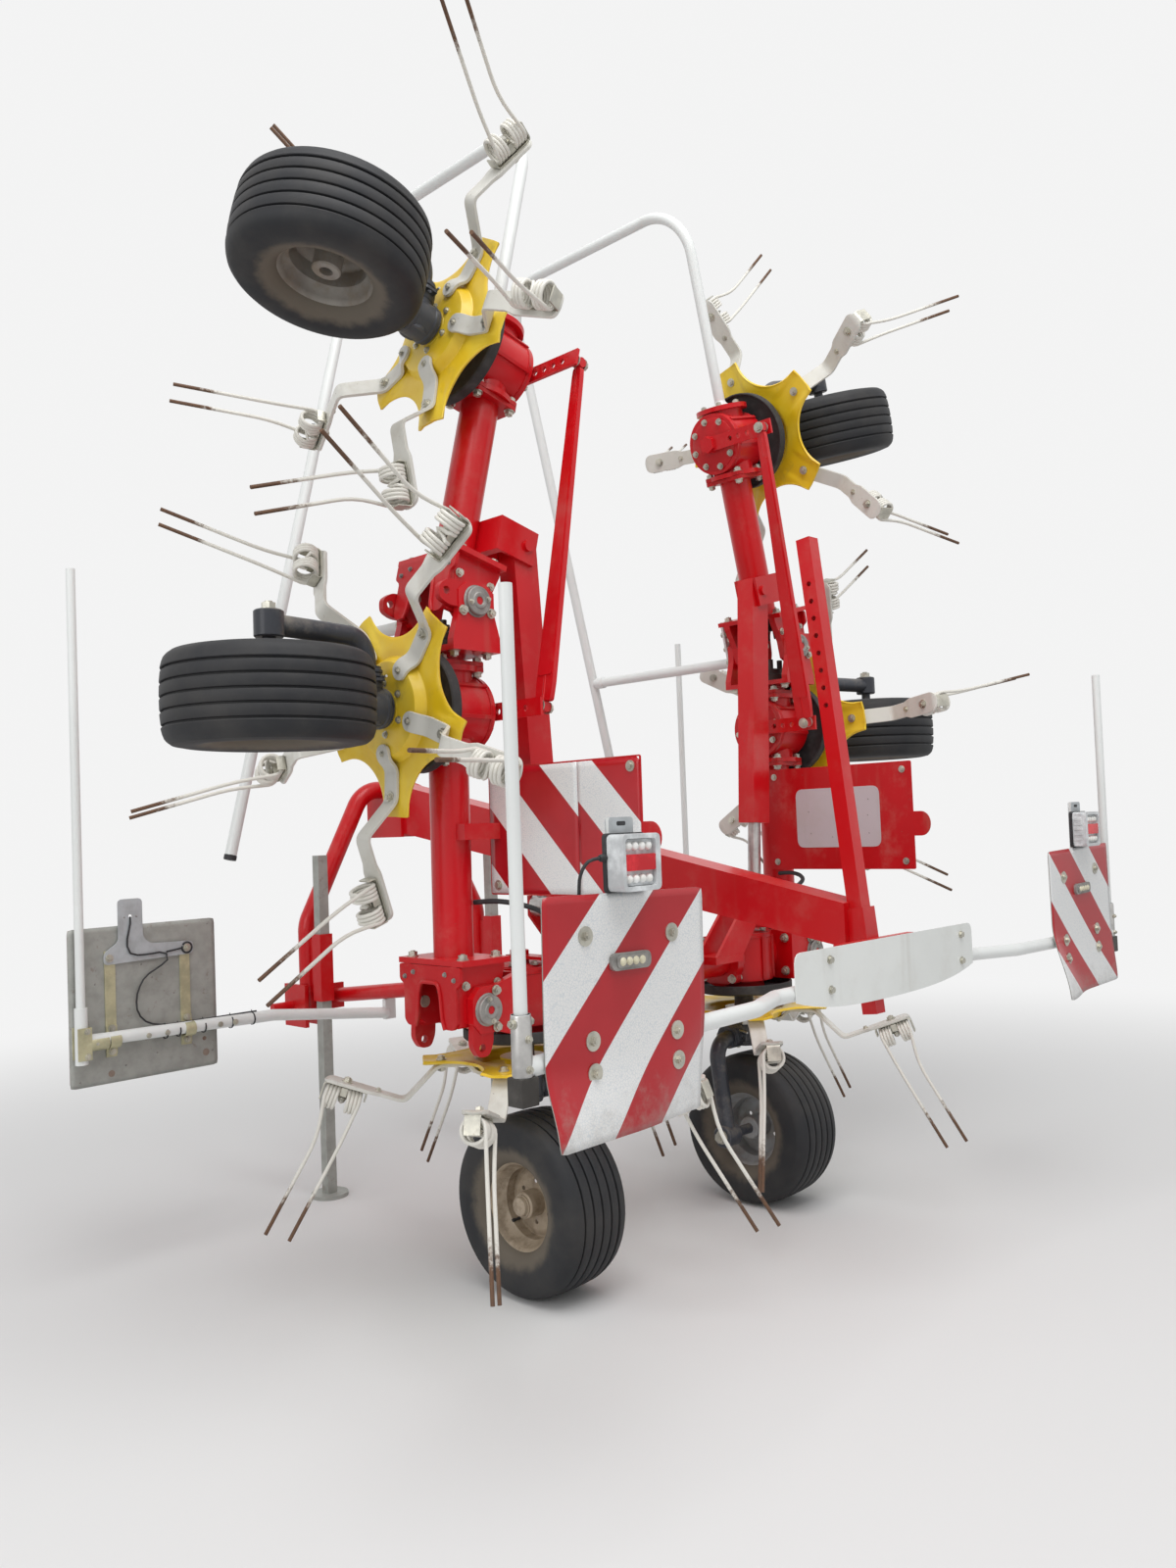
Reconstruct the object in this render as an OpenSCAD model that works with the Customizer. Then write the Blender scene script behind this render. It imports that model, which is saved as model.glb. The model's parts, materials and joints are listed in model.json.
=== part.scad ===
/* [Layout] */
// Distance between neighbouring rotor axes with the wings spread
rotor_pitch = 950; // [930:5:980]
// Height of the drive shaft line above the ground
shaft_h = 753; // [746:1:790]
// Distance of the inner fold pin from the middle of the machine
fold_x = 695; // [690:1:705]
// Distance from the outer fold pin back to the inner wing's rotor axis
fold_gap = 262; // [250:1:270]
// How far the inner section of a wing is folded up in transport
fold_in = 90.5; // [85:0.5:92]
// How far the outer section leans further in
fold_out = 14; // [8:0.5:15]

/* [Rotors] */
// Radius of the circle that the outer tine tips run on
tine_r = 657; // [645:1:670]
// Number of tine arms on a rotor
arm_count = 5; // [4:1:6]
// Drop from the shaft line to the star's plate
star_drop = 156; // [150:1:160]
// Radius of the star's lobe tips
star_r = 265; // [240:5:280]
// Thickness of the star's plate
star_t = 8; // [6:0.5:10]
// Radius of the circle that the outer spring coils sit on
coil_ring = 495; // [485:1:500]
// Drop from the shaft line to the middle of an outer coil
coil_drop = 228; // [222:1:234]
// Outer radius of a spring coil
coil_r = 33; // [30:1:36]
// Distance between the middles of a pair of coils
coil_gap = 60; // [54:1:66]
// Diameter of the tine wire
wire_d = 9.5; // [8:0.5:11]
// Drop from the shaft line to the outer tine tips
tip_drop = 542; // [520:2:550]
// Width of a tine arm's flat bar
arm_w = 48; // [40:1:52]
// Thickness of a tine arm's flat bar
arm_t = 9; // [7:0.5:11]

/* [Wheels] */
// Outer radius of a tyre
tyre_r = 228.5; // [222:0.5:231]
// Width of a tyre
tyre_w = 205; // [190:1:215]
// Radius of the rim where the tyre sits
rim_r = 108; // [100:1:115]
// How far the wheels trail behind the rotor axes
wheel_trail = 45; // [30:1:60]
// Radius of a wheel axle
axle_r = 15; // [12:0.5:18]

/* [Beams and joints] */
// Radius of the round beams that carry the rotors
beam_r = 50; // [44:1:54]
// Outside width of the outer ears of a fold joint
fork_w = 250; // [240:1:260]
// Thickness of one ear of a fold joint
ear_t = 22; // [18:1:24]
// Radius of a fold pin
pin_r = 17.5; // [15:0.5:20]
// Radius of a gear housing
housing_r = 95; // [88:1:98]
// Radius of the disc that keeps crop off the hub
shield_r = 150; // [130:1:160]
// Radius of the column inside a rotor
column_r = 30; // [26:1:32]

/* [Lift cylinders] */
// Distance of the lower cylinder pin from the middle
lift_x = 450; // [440:1:460]
// Height of the lower cylinder pin above the shaft line
lift_h = 232; // [225:1:240]
// Distance of the upper cylinder pin beyond the outer fold pin
lift_reach = 203; // [195:1:210]
// Height of the upper cylinder pin above the shaft line
lift_top = 135; // [130:1:145]
// How far the cylinders lie behind the shaft line
lift_back = 80; // [78:1:90]

/* [Hitch] */
// How far the lower hitch pins lie ahead of the rotor axes
hitch_y = 1220; // [1180:5:1260]
// Height of the lower hitch pins
hitch_z = 620; // [600:5:640]
// Height of the top link bore above the lower hitch pins
mast_h = 610; // [605:1:615]
// Distance between the shoulders of the lower hitch pins
hitch_w = 825; // [820:1:830]
// Radius of the lower hitch pins
hitch_pin_r = 14; // [13.5:0.1:14.5]
// Radius of the top link bore
top_bore_r = 12.85; // [12.7:0.05:13]

/* [Warning boards] */
// Side length of a square warning board
board_s = 423; // [400:1:430]
// Thickness of a warning board
board_t = 3; // [2:0.5:4]
// Radius of the bent board tubes
board_tube_r = 17; // [15:0.5:18]

/* [Hidden] */
$fn = 48;
run_gap = 0.05;   // clearance of a shaft in its bore
seat_gap = 0.3;   // clearance between curved faces that almost touch
slide_gap = 0.5;  // clearance between faces that turn past each other
hitch_pin_l = 75;
fold2_x = rotor_pitch * 1.5 + fold_gap;
rotor_x = [rotor_pitch * 0.5, rotor_pitch * 1.5, rotor_pitch * 2.5];
wheel_drop = shaft_h - tyre_r;

// rotor phase: angle of the first arm from the outward direction, for each place
phase_left = [37, 33, -31];
phase_right = [10, -12, 14];
// which way the tines lean, for each place
lean_way = [-1, 1, -1];

// headstock and struts
arch_r = 30;
arch_y = hitch_y - 40;
clevis_t = 14;
clevis_front = hitch_y + 45;
clevis_rear = arch_y - 40;
weld_in = 3;
arch_x = hitch_w / 2 - clevis_t - arch_r + weld_in;
top_y = arch_y + arch_r + top_bore_r + 2;
top_z = hitch_z + mast_h;
crown_z = top_z + 110;
strut_r = 24;
strut_plate_t = 12;
strut_start = [200, 20, shaft_h + 15];
strut_end = [300, clevis_rear - strut_plate_t / 2, hitch_z + 25];
function strut_at(y) = strut_start
    + (strut_end - strut_start) * (y - strut_start.y) / (strut_end.y - strut_start.y);

// boards, poles and lamps; the front ones come first in each list
board_x = [1075, 1000];        // distance of the board's middle from the machine's middle
board_y = [890, -872];         // the face that lies on the tube
board_z = [749, 855];          // height of the board's middle
board_tube_y = [board_y[0] - board_tube_r - seat_gap, board_y[1] + board_tube_r + seat_gap];
board_tube_z = [655, 800];
pole_x = [1262, 1245];
pole_z = [board_tube_z[0] + 8, board_tube_z[1] - 10];
pole_r = 12;
pole_top = [1930, 1600];
pole_in = 52;                  // how far the poles stand in their sockets
socket_r = 16.8;
tube_short = 6;                // the tubes end this far before a socket's axis
lamp_z = 1120;
lamp_y = board_y[1] + 2;
lamp_t = 50;
lamp_w = 104;
lamp_h = 106;

// the spine slopes down to the rear
plate_y = -817;
plate_z = 826;
plate_w = 814;
plate_h = 130;
plate_t = 3;
spine_slope = 0.195;
spine_mid_h = 1058;
spine_w = 90;
spine_front = arch_y - arch_r - seat_gap;
spine_rear = -718;
rear_tube_y = plate_y + seat_gap + board_tube_r;
cross_plate_t = 18;
cross_plate_w = 340;
function spine_z(y) = spine_mid_h + spine_slope * y;
function spine_half(y) = 66 + 0.016 * y;
function spine_under(y) = spine_z(y) - spine_half(y);

origin_y = (clevis_front + lamp_y - lamp_t) / 2;

// Small helpers

function unit(v) = v / norm(v);

// a round bar from p to q
module bar(p, q, r) {
    d = q - p;
    translate(p) rotate([0, acos(d.z / norm(d)), atan2(d.y, d.x)]) cylinder(r = r, h = norm(d));
}

// how much a bend of radius br takes off the legs at corner b
function bend_cut(a, b, c, br) = br * tan((180 - acos(unit(a - b) * unit(c - b))) / 2);

module bend(a, b, c, r, br) {
    back = unit(a - b);
    ahead = unit(c - b);
    inward = unit(ahead - (ahead * back) * back);
    axis = cross(inward, back);
    mid = b + back * bend_cut(a, b, c, br) + inward * br;
    turn = 180 - acos(back * ahead);
    multmatrix([[-inward.x, -back.x, axis.x, mid.x],
                [-inward.y, -back.y, axis.y, mid.y],
                [-inward.z, -back.z, axis.z, mid.z],
                [0, 0, 0, 1]])
        rotate_extrude(angle = turn) translate([br, 0]) circle(r);
}

// a round tube along points, with every corner bent to radius br; a bend is a hair thicker, and
// the straight lengths end inside it
bend_swell = 0.2;
bend_lap = 1;

module bent_tube(points, r, br) {
    last = len(points) - 1;
    cut = [for (i = [0:last])
        i == 0 || i == last ? 0 : bend_cut(points[i - 1], points[i], points[i + 1], br) - bend_lap];
    for (i = [0:last - 1]) {
        way = unit(points[i + 1] - points[i]);
        bar(points[i] + way * cut[i], points[i + 1] - way * cut[i + 1], r);
    }
    for (i = [1:last - 1]) bend(points[i - 1], points[i], points[i + 1], r + bend_swell, br);
}

// a box from its lowest to its highest corner
module block(low, high) translate(low) cube(high - low);

// every piece is drawn about the rotor axes, then moved so that the origin is under the middle
module side(left) translate([0, -origin_y, 0]) mirror([left ? 1 : 0, 0, 0]) children();

// puts what is drawn in the spread position on the folded inner or outer section of a wing
module on_inner(left) side(left)
    translate([fold_x, 0, shaft_h]) rotate([0, -fold_in, 0]) translate([-fold_x, 0, 0]) children();

module on_outer(left) on_inner(left)
    translate([fold2_x, 0, 0]) rotate([0, -fold_out, 0]) translate([-fold2_x, 0, 0]) children();

// puts what is drawn about a rotor axis at its place: 0 centre, 1 inner, 2 outer
module at_rotor(left, place) {
    if (place == 0) side(left) translate([rotor_x[0], 0, shaft_h]) children();
    if (place == 1) on_inner(left) translate([rotor_x[1], 0, 0]) children();
    if (place == 2) on_outer(left) translate([rotor_x[2], 0, 0]) children();
}

// Rotor: pressed star, and arms with double spring tines

drum_r = 118;       // the pressed drum under the star, at its lower face
drum_h = 26;
drum_draft = 6;
hub_r = 46;
star_low = -star_drop - star_t - drum_h;

module star_outline() {
    waist = star_r * 0.62;
    difference() {
        circle(star_r);
        for (i = [0:arm_count - 1]) rotate((i + 0.5) * 360 / arm_count)
            translate([star_r * 1.18, 0]) circle(waist * 0.84);
    }
}

module star(left, place) color("gold") at_rotor(left, place)
    rotate(left ? phase_left[place] : phase_right[place]) difference() {
        union() {
            translate([0, 0, -star_drop - star_t]) linear_extrude(star_t) star_outline();
            translate([0, 0, star_low]) cylinder(r1 = drum_r, r2 = drum_r + drum_draft, h = drum_h + 1);
        }
        // the drum is hollow from above, round its hub
        difference() {
            translate([0, 0, star_low + star_t])
                cylinder(r1 = drum_r - star_t, r2 = drum_r - star_t + drum_draft, h = drum_h + 1);
            translate([0, 0, star_low]) cylinder(r = hub_r, h = drum_h + star_t + 2);
        }
        translate([0, 0, star_low - 1]) cylinder(r = column_r + run_gap, h = drum_h + star_t + 2);
    }

// A tine arm starts on the drum, steps up to its lobe, drops to a low bend and rises over its coils. What
// belongs to the coils is drawn about the outer coil, X along the coils' own axis.
coil_tilt = 20;
coil_turns = 4;
coil_l = coil_turns * wire_d;
groove = 2.5;        // depth between two turns
groove_w = 2;
coil_in = 1.5;       // how far the coils dip into the holder
holder_t = 5;
holder_w = 64;
holder_out = 6;      // what the holder stands out past a coil
lug_w = 32;
lug_h = 42;
arm_r0 = 85;
arm_step = [120, 142];   // where it steps up from the drum to the lobe
arm_step_skew = 4;
arm_r1 = 222;
arm_low_x = 185;     // from the outer coil back to the low bend
arm_end_x = 12;
arm_in = 1;          // how far the arm dips into the holder
arm_skew = 3;        // offset of the lower corners, so that the flat bar keeps its thickness
arm_z0 = -star_drop - star_t;
arm_under = coil_r - coil_in + holder_t - arm_in;

function by_coil(x, z) = [coil_ring + x * cos(coil_tilt) - z * sin(coil_tilt),
    -coil_drop + x * sin(coil_tilt) + z * cos(coil_tilt)];

module arm_profile() polygon([
    [arm_r0, star_low - arm_t], [arm_r0, star_low], [arm_step[0], star_low], [arm_step[1], arm_z0],
    [arm_r1, arm_z0],
    by_coil(-arm_low_x, arm_under + arm_t), by_coil(arm_end_x, arm_under + arm_t),
    by_coil(arm_end_x, arm_under), by_coil(arm_skew - arm_low_x, arm_under),
    [arm_r1 - arm_skew, arm_z0 - arm_t], [arm_step[1] + arm_step_skew, arm_z0 - arm_t],
    [arm_step[0] + arm_step_skew, star_low - arm_t]]);

// one closed spring coil, its turns parted by grooves
module coil() rotate([0, 90, 0]) rotate_extrude() polygon(concat(
    [[coil_r - wire_d, -coil_l / 2]],
    [for (i = [0:coil_turns - 1]) each [[coil_r - groove, i * wire_d - coil_l / 2],
        [coil_r, i * wire_d - coil_l / 2 + groove_w], [coil_r, (i + 1) * wire_d - coil_l / 2 - groove_w]]],
    [[coil_r - groove, coil_l / 2], [coil_r - wire_d, coil_l / 2]]));

// leg of a tine: k is 0 at the outer coil and 1 at the inner one
kink = [0.2, 0.3];   // share of the reach and of the drop at which a leg is bent
kink_r = 40;
tine_lean = 70;

module tine(k, way) {
    start_x = (k == 0 ? 1 : -1) * (coil_l - wire_d) / 2 - k * coil_gap;
    mid = by_coil(-k * coil_gap, 0);
    from = by_coil(start_x, 0);
    start_y = way * (coil_r - wire_d * 0.62);
    reach = tine_r - coil_ring;
    drop = tip_drop - coil_drop;
    bent_tube([[from.x, start_y, from.y], [mid.x + reach * kink[0], way * coil_r, mid.y - drop * kink[1]],
        [mid.x + reach, way * tine_lean, mid.y - drop]], wire_d / 2, kink_r);
}

module tines(left, place) color("linen") at_rotor(left, place)
    rotate(left ? phase_left[place] : phase_right[place])
        for (i = [0:arm_count - 1]) rotate(i * 360 / arm_count) {
            translate([0, arm_w / 2, 0]) rotate([90, 0, 0]) linear_extrude(arm_w) arm_profile();
            translate([coil_ring, 0, -coil_drop]) rotate([0, -coil_tilt, 0]) {
                for (k = [0, 1]) translate([-k * coil_gap, 0, 0]) coil();
                block([-coil_gap - coil_l / 2 - holder_out, -holder_w / 2, coil_r - coil_in],
                      [coil_l / 2 + holder_out, holder_w / 2, coil_r - coil_in + holder_t]);
                block([coil_l / 2 - 1, -lug_w / 2, coil_r - lug_h], [coil_l / 2 + holder_out, lug_w / 2, coil_r]);
            }
            for (k = [0, 1]) tine(k, lean_way[place]);
        }

// Gear housing, shield disc, column, wheel leg and steering lever

shield_drop = 104;
shield_t = 4;
flange_r = 82;
flange_t = 14;
housing_out = 112;   // from the rotor axis to the face of a side flange
housing_up = 78;
lever_z = 96;
lever_t = 8;
lever_l = 240;
column_low = 276;    // drop from the shaft line to the column's end
boss_r = 48;         // dark boss under the star
boss_gap = 6;
collar_r = 35;       // collar that holds the leg's tube
collar_l = 96;
leg_drop = 241;
leg_r = 24;
leg_out = 62;        // gap from the tyre's side face to the leg's axis

module housing() {
    translate([0, 0, -70]) cylinder(r = housing_r, h = 70 + housing_up);
    translate([-housing_out, 0, 0]) rotate([0, 90, 0]) cylinder(r = flange_r * 0.8, h = 2 * housing_out);
    for (s = [-1, 1]) translate([s * (housing_out - flange_t / 2), 0, 0]) rotate([0, 90, 0])
        cylinder(r = flange_r, h = flange_t, center = true);
    translate([0, 0, -shield_drop]) cylinder(r = shield_r, h = shield_t);
    translate([0, 0, -shield_drop]) cylinder(r = housing_r * 0.7, h = shield_drop - 60);
}

// the wheel leg goes to the inner side of the wheel when way is -1, to the outer side when it is 1
module wheel_leg(way) {
    side_x = way * (tyre_w / 2 + leg_out);
    translate([0, 0, -column_low]) cylinder(r = column_r, h = column_low - shield_drop - seat_gap);
    translate([0, 0, -column_low]) cylinder(r = boss_r, h = column_low + star_low - boss_gap);
    translate([0, 0, -leg_drop]) rotate([0, way * 90, 0]) translate([0, 0, 6 - boss_r])
        cylinder(r = collar_r, h = boss_r - 6 + collar_l);
    bent_tube([[0, 0, -leg_drop], [side_x, -10, -leg_drop - 8], [side_x, -wheel_trail, -wheel_drop + 2]],
        leg_r, 60);
    translate([side_x, -wheel_trail, -wheel_drop]) rotate([0, -way * 90, 0]) {
        translate([0, 0, -leg_r - 4]) cylinder(r = 32, h = leg_r * 2 + 8);
        cylinder(r = axle_r, h = leg_out + tyre_w / 2 + 40);
    }
}

tie_y = -lever_l + 20;

module lever() {
    translate([0, tie_y, lever_z]) cylinder(r = 5, h = lever_t + stub_h);
    translate([0, 0, housing_up]) cylinder(r = 26, h = lever_z + lever_t + 12 - housing_up, $fn = 6);
    difference() {
        block([-22, -lever_l, lever_z], [22, 30, lever_z + lever_t]);
        for (i = [1:4]) translate([0, tie_y + i * 34, lever_z - 1]) cylinder(r = 8, h = lever_t + 2);
    }
}

// Wheels

module tyre(left, place) color("black") at_rotor(left, place)
    translate([0, -wheel_trail, -wheel_drop]) rotate([0, 90, 0]) rotate_extrude() polygon([
        [rim_r + seat_gap, -tyre_w * 0.36], [rim_r + 22, -tyre_w * 0.45], [rim_r + 62, -tyre_w * 0.5],
        [tyre_r - 22, -tyre_w * 0.47], [tyre_r - 6, -tyre_w * 0.38], [tyre_r, -tyre_w * 0.2],
        [tyre_r, tyre_w * 0.2], [tyre_r - 6, tyre_w * 0.38], [tyre_r - 22, tyre_w * 0.47],
        [rim_r + 62, tyre_w * 0.5], [rim_r + 22, tyre_w * 0.45], [rim_r + seat_gap, tyre_w * 0.36]]);

module rim(left, place) color("tan") at_rotor(left, place)
    translate([0, -wheel_trail, -wheel_drop]) rotate([0, 90, 0]) rotate_extrude() polygon([
        [rim_r, -tyre_w * 0.36], [rim_r, tyre_w * 0.36], [rim_r - 8, tyre_w * 0.36], [rim_r - 8, 6],
        [34, 6], [34, 60], [axle_r + run_gap, 60], [axle_r + run_gap, -60], [34, -60], [34, -6],
        [rim_r - 8, -6], [rim_r - 8, -tyre_w * 0.36]]);

// Fold joints: octagonal U castings with two ears each

ear_in = fork_w / 2 - ear_t;          // inner face of the outer ears
hub_face = fork_w / 2 + 12;
joint_l = 108;                        // from the fold pin to the face of a casting's foot
foot_t = 14;
ear_h = 76;

module ear_outline(way) polygon([
    [-way * 46, -30], [-way * 46, 30], [-way * 24, 56], [way * 30, 56], [way * (joint_l - 12), ear_h],
    [way * joint_l, ear_h], [way * joint_l, -ear_h], [way * (joint_l - 12), -ear_h], [way * 30, -56], [-way * 24, -56]]);

// outer is the half that carries the pin; way is the side its foot is on
module joint_half(outer, way) {
    low = outer ? ear_in : ear_in - ear_t - slide_gap;
    for (s = [-1, 1]) difference() {
        translate([0, s * (low + ear_t / 2), 0]) rotate([90, 0, 0])
            linear_extrude(ear_t, center = true) ear_outline(way);
        if (!outer) rotate([90, 0, 0]) cylinder(r = pin_r, h = fork_w, center = true);
    }
    block([way > 0 ? joint_l : -joint_l - foot_t, -fork_w / 2, -ear_h],
          [way > 0 ? joint_l + foot_t : -joint_l, fork_w / 2, ear_h]);
    if (outer) for (s = [-1, 1]) {
        rotate([s * 90, 0, 0]) translate([0, 0, -hub_face]) cylinder(r = 34, h = hub_face - ear_in - 1);
        rotate([s * 90, 0, 0]) translate([0, 0, -hub_face])
            cylinder(r = pin_r - run_gap, h = hub_face - ear_in + ear_t + slide_gap);
    }
}

// Frame

tube_in = 105;   // half the length of the central gear case

module crossbeam() color("firebrick") side(false) {
    for (s = [-1, 1]) {
        translate([s * tube_in, 0, shaft_h]) rotate([0, s * 90, 0])
            cylinder(r = beam_r, h = rotor_x[0] - housing_out - tube_in);
        translate([s * (rotor_x[0] - housing_out), 0, shaft_h]) rotate([0, -s * 90, 0])
            cylinder(r = flange_r, h = flange_t);
        // lower strut to the headstock
        bar([s * strut_start.x, strut_start.y, strut_start.z], [s * strut_end.x, strut_end.y, strut_end.z], strut_r);
        translate([s * (arch_x - arch_r - 32), clevis_rear - strut_plate_t / 2, strut_end.z])
            cube([84, strut_plate_t, 84], center = true);
        lift_bracket(s);
    }
    block([-tube_in, -110, shaft_h - 105], [tube_in, 120, shaft_h + 105]);
    translate([0, 120, shaft_h]) rotate([-90, 0, 0]) cylinder(r = 62, h = 150);
    // pedestal that carries the spine
    translate([75, 0, 0]) rotate([0, -90, 0]) linear_extrude(150) polygon([
        [shaft_h + 90, -90], [spine_under(-60), -60], [spine_under(70), 70], [shaft_h + 90, 100]]);
}

bracket_gap = 62;
bracket_t = 10;
lug_x = 45;
lift_pin_r = 15;
bracket_from = lift_x - 260;
bracket_to = lift_x - 130;

module lift_bracket(s) {
    x = s * lift_x;
    for (k = [-1, 1]) {
        y = -lift_back + k * (bracket_gap / 2 + bracket_t / 2);
        translate([0, y + bracket_t / 2, 0]) rotate([90, 0, 0]) linear_extrude(bracket_t) polygon([
            [s * bracket_from, shaft_h + 20], [s * bracket_to, shaft_h + 20], [x + s * 26, shaft_h + lift_h - 26],
            [x + s * 26, shaft_h + lift_h + 26], [x - s * 30, shaft_h + lift_h + 26]]);
    }
    block([min(s * bracket_from, s * bracket_to), -lift_back - bracket_gap / 2 - bracket_t - 2, shaft_h + 8],
          [max(s * bracket_from, s * bracket_to), -lift_back + bracket_gap / 2 + bracket_t + 2, shaft_h + 30]);
}

module centre_housings() color("firebrick") for (left = [false, true]) side(left) {
    translate([rotor_x[0], 0, shaft_h]) {
        housing();
        lever();
    }
    translate([fold_x, 0, shaft_h]) joint_half(true, -1);
}

module centre_legs() color("dimgray") for (left = [false, true]) at_rotor(left, 0) wheel_leg(-1);

module pto_stub() color("silver") side(false) translate([0, 270, shaft_h]) rotate([-90, 0, 0]) {
    cylinder(r = 17.45, h = 100);
    cylinder(r = 30, h = 14);
}

module spine() color("firebrick") side(false) difference() {
    union() {
        translate([spine_w / 2, 0, 0]) rotate([0, -90, 0]) linear_extrude(spine_w) polygon([
            [spine_under(spine_rear), spine_rear], [spine_z(spine_rear) + spine_half(spine_rear), spine_rear],
            [spine_z(spine_front) + spine_half(spine_front), spine_front],
            [spine_under(spine_front), spine_front]]);
        // socket of the rear post, and the cross plate that carries the board tubes
        post_place() block([-socket_s / 2, -socket_s / 2, -80], [socket_s / 2, socket_s / 2, 110]);
        block([-cross_plate_w / 2, rear_tube_y + board_tube_r + seat_gap, board_tube_z[1] - 25],
              [cross_plate_w / 2, rear_tube_y + board_tube_r + seat_gap + cross_plate_t, spine_z(spine_rear) - 33]);
    }
    post_place() block([-post_s / 2 - slide_gap, -post_s / 2 - slide_gap, -200],
                       [post_s / 2 + slide_gap, post_s / 2 + slide_gap, 400]);
}

// headstock: an arch of bent tube with hitch brackets
module headstock() color("firebrick") side(false) {
    bent_tube([[-arch_x, arch_y, hitch_z - 40], [-arch_x, arch_y, hitch_z + 270], [-130, arch_y, crown_z],
        [130, arch_y, crown_z], [arch_x, arch_y, hitch_z + 270], [arch_x, arch_y, hitch_z - 40]], arch_r, 110);
    for (left = [false, true]) mirror([left ? 1 : 0, 0, 0]) {
        for (x = [hitch_w / 2 - clevis_t, arch_x - arch_r + weld_in - clevis_t])
            block([x, clevis_rear, hitch_z - 70], [x + clevis_t, clevis_front, hitch_z + 70]);
        translate([hitch_w / 2 - clevis_t / 2, hitch_y, hitch_z]) rotate([0, 90, 0])
            cylinder(r = hitch_pin_r, h = hitch_pin_l + clevis_t / 2);
        // plates for the top link, on both flanks of the spine
        difference() {
            block([spine_w / 2, arch_y - 120, top_z - 60], [spine_w / 2 + 12, top_y + 35, crown_z - 20]);
            translate([0, top_y, top_z]) rotate([0, 90, 0]) cylinder(r = top_bore_r, h = 120);
        }
        // sleeve of the parking leg, on an arm behind the arch
        difference() {
            union() {
                block([leg_x - sleeve_s / 2, leg_y - sleeve_s / 2, hitch_z + 20],
                      [leg_x + sleeve_s / 2, leg_y + sleeve_s / 2, hitch_z + 240]);
                block([leg_x - 8, leg_y, hitch_z + 40], [leg_x + 8, arch_y, hitch_z + 220]);
            }
            block([leg_x - leg_s / 2 - slide_gap, leg_y - leg_s / 2 - slide_gap, hitch_z],
                  [leg_x + leg_s / 2 + slide_gap, leg_y + leg_s / 2 + slide_gap, hitch_z + 260]);
        }
    }
}

module name_plate() color("white") side(false)
    block([-plate_w / 2, plate_y - plate_t, plate_z - plate_h / 2], [plate_w / 2, plate_y, plate_z + plate_h / 2]);

// rear parking post, raised, and front parking legs, lowered
post_s = 40;
socket_s = post_s + 14;
post_y = -745;
post_z = spine_z(post_y) - 63;
post_lean = 6.4;

module post_place() translate([0, post_y, post_z]) rotate([-post_lean, 0, 0]) children();

post_low = 150;
post_high = 1055;
post_holes = 8;

module rear_post() color("firebrick") side(false) post_place() difference() {
    block([-post_s / 2, -post_s / 2, -post_low], [post_s / 2, post_s / 2, post_high]);
    for (i = [1:post_holes]) translate([0, 0, post_high - 75 - i * 45]) rotate([0, 90, 0])
        cylinder(r = 6.5, h = post_s + 2, center = true);
}

leg_s = 35;
sleeve_s = leg_s + 13;
leg_x = arch_x;
leg_y = arch_y - 90;
pad_t = 12;

module front_leg(left) color("silver") side(left) {
    block([leg_x - leg_s / 2, leg_y - leg_s / 2, pad_t - 2], [leg_x + leg_s / 2, leg_y + leg_s / 2, 1120]);
    translate([leg_x, leg_y, 0]) cylinder(r = 60, h = pad_t);
}

// warning boards and poles on bent tubes
module board_tubes() color("white") for (left = [false, true]) side(left) {
    hang = strut_at(board_tube_y[0]);
    difference() {
        union() {
            bent_tube([[60, rear_tube_y, board_tube_z[1]], [460, rear_tube_y, board_tube_z[1]],
                [600, board_tube_y[1], board_tube_z[1]], [pole_x[1] - tube_short, board_tube_y[1], pole_z[1]]],
                board_tube_r, 60);
            bent_tube([[hang.x, hang.y, board_tube_z[0] - 50], [690, hang.y, board_tube_z[0]],
                [pole_x[0] - tube_short, hang.y, pole_z[0]]], board_tube_r, 60);
            for (i = [0, 1]) translate([pole_x[i], board_tube_y[i], pole_z[i] - pole_in - 8])
                cylinder(r = socket_r, h = 150);
        }
        for (i = [0, 1]) translate([pole_x[i], board_tube_y[i], pole_z[i] - pole_in])
            cylinder(r = pole_r + seat_gap, h = 150);
    }
    // hanger under the strut
    block([hang.x - 30, hang.y - 8, board_tube_z[0] - 70],
          [hang.x + 10, hang.y + 8, strut_at(board_tube_y[0] + 8).z - strut_r * 1.01 - seat_gap]);
    // lamp bracket above the rear board
    block([board_x[1] - 31, lamp_y, board_tube_z[1] - 5], [board_x[1] + 31, lamp_y + 8, lamp_z + lamp_h / 2 + 28]);
}

module warning_boards() color("white") for (left = [false, true], i = [0, 1]) side(left)
    translate([board_x[i], board_y[i] + (i == 0 ? board_t / 2 : -board_t / 2), board_z[i]])
        cube([board_s, board_t, board_s], center = true);

module marker_poles() color("white") for (left = [false, true], i = [0, 1]) side(left)
    translate([pole_x[i], board_tube_y[i], pole_z[i] - pole_in])
        cylinder(r = pole_r, h = pole_top[i] - pole_z[i] + pole_in);

module tail_lamps() color("red") for (left = [false, true]) side(left)
    block([board_x[1] - lamp_w / 2, lamp_y - lamp_t, lamp_z - lamp_h / 2],
          [board_x[1] + lamp_w / 2, lamp_y, lamp_z + lamp_h / 2]);

// Wing sections, drawn spread out

side_low = [fold_x + 270, -560, beam_r + 45];
side_high = [fold_x + 590, -40, side_low.z + 3];

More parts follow.
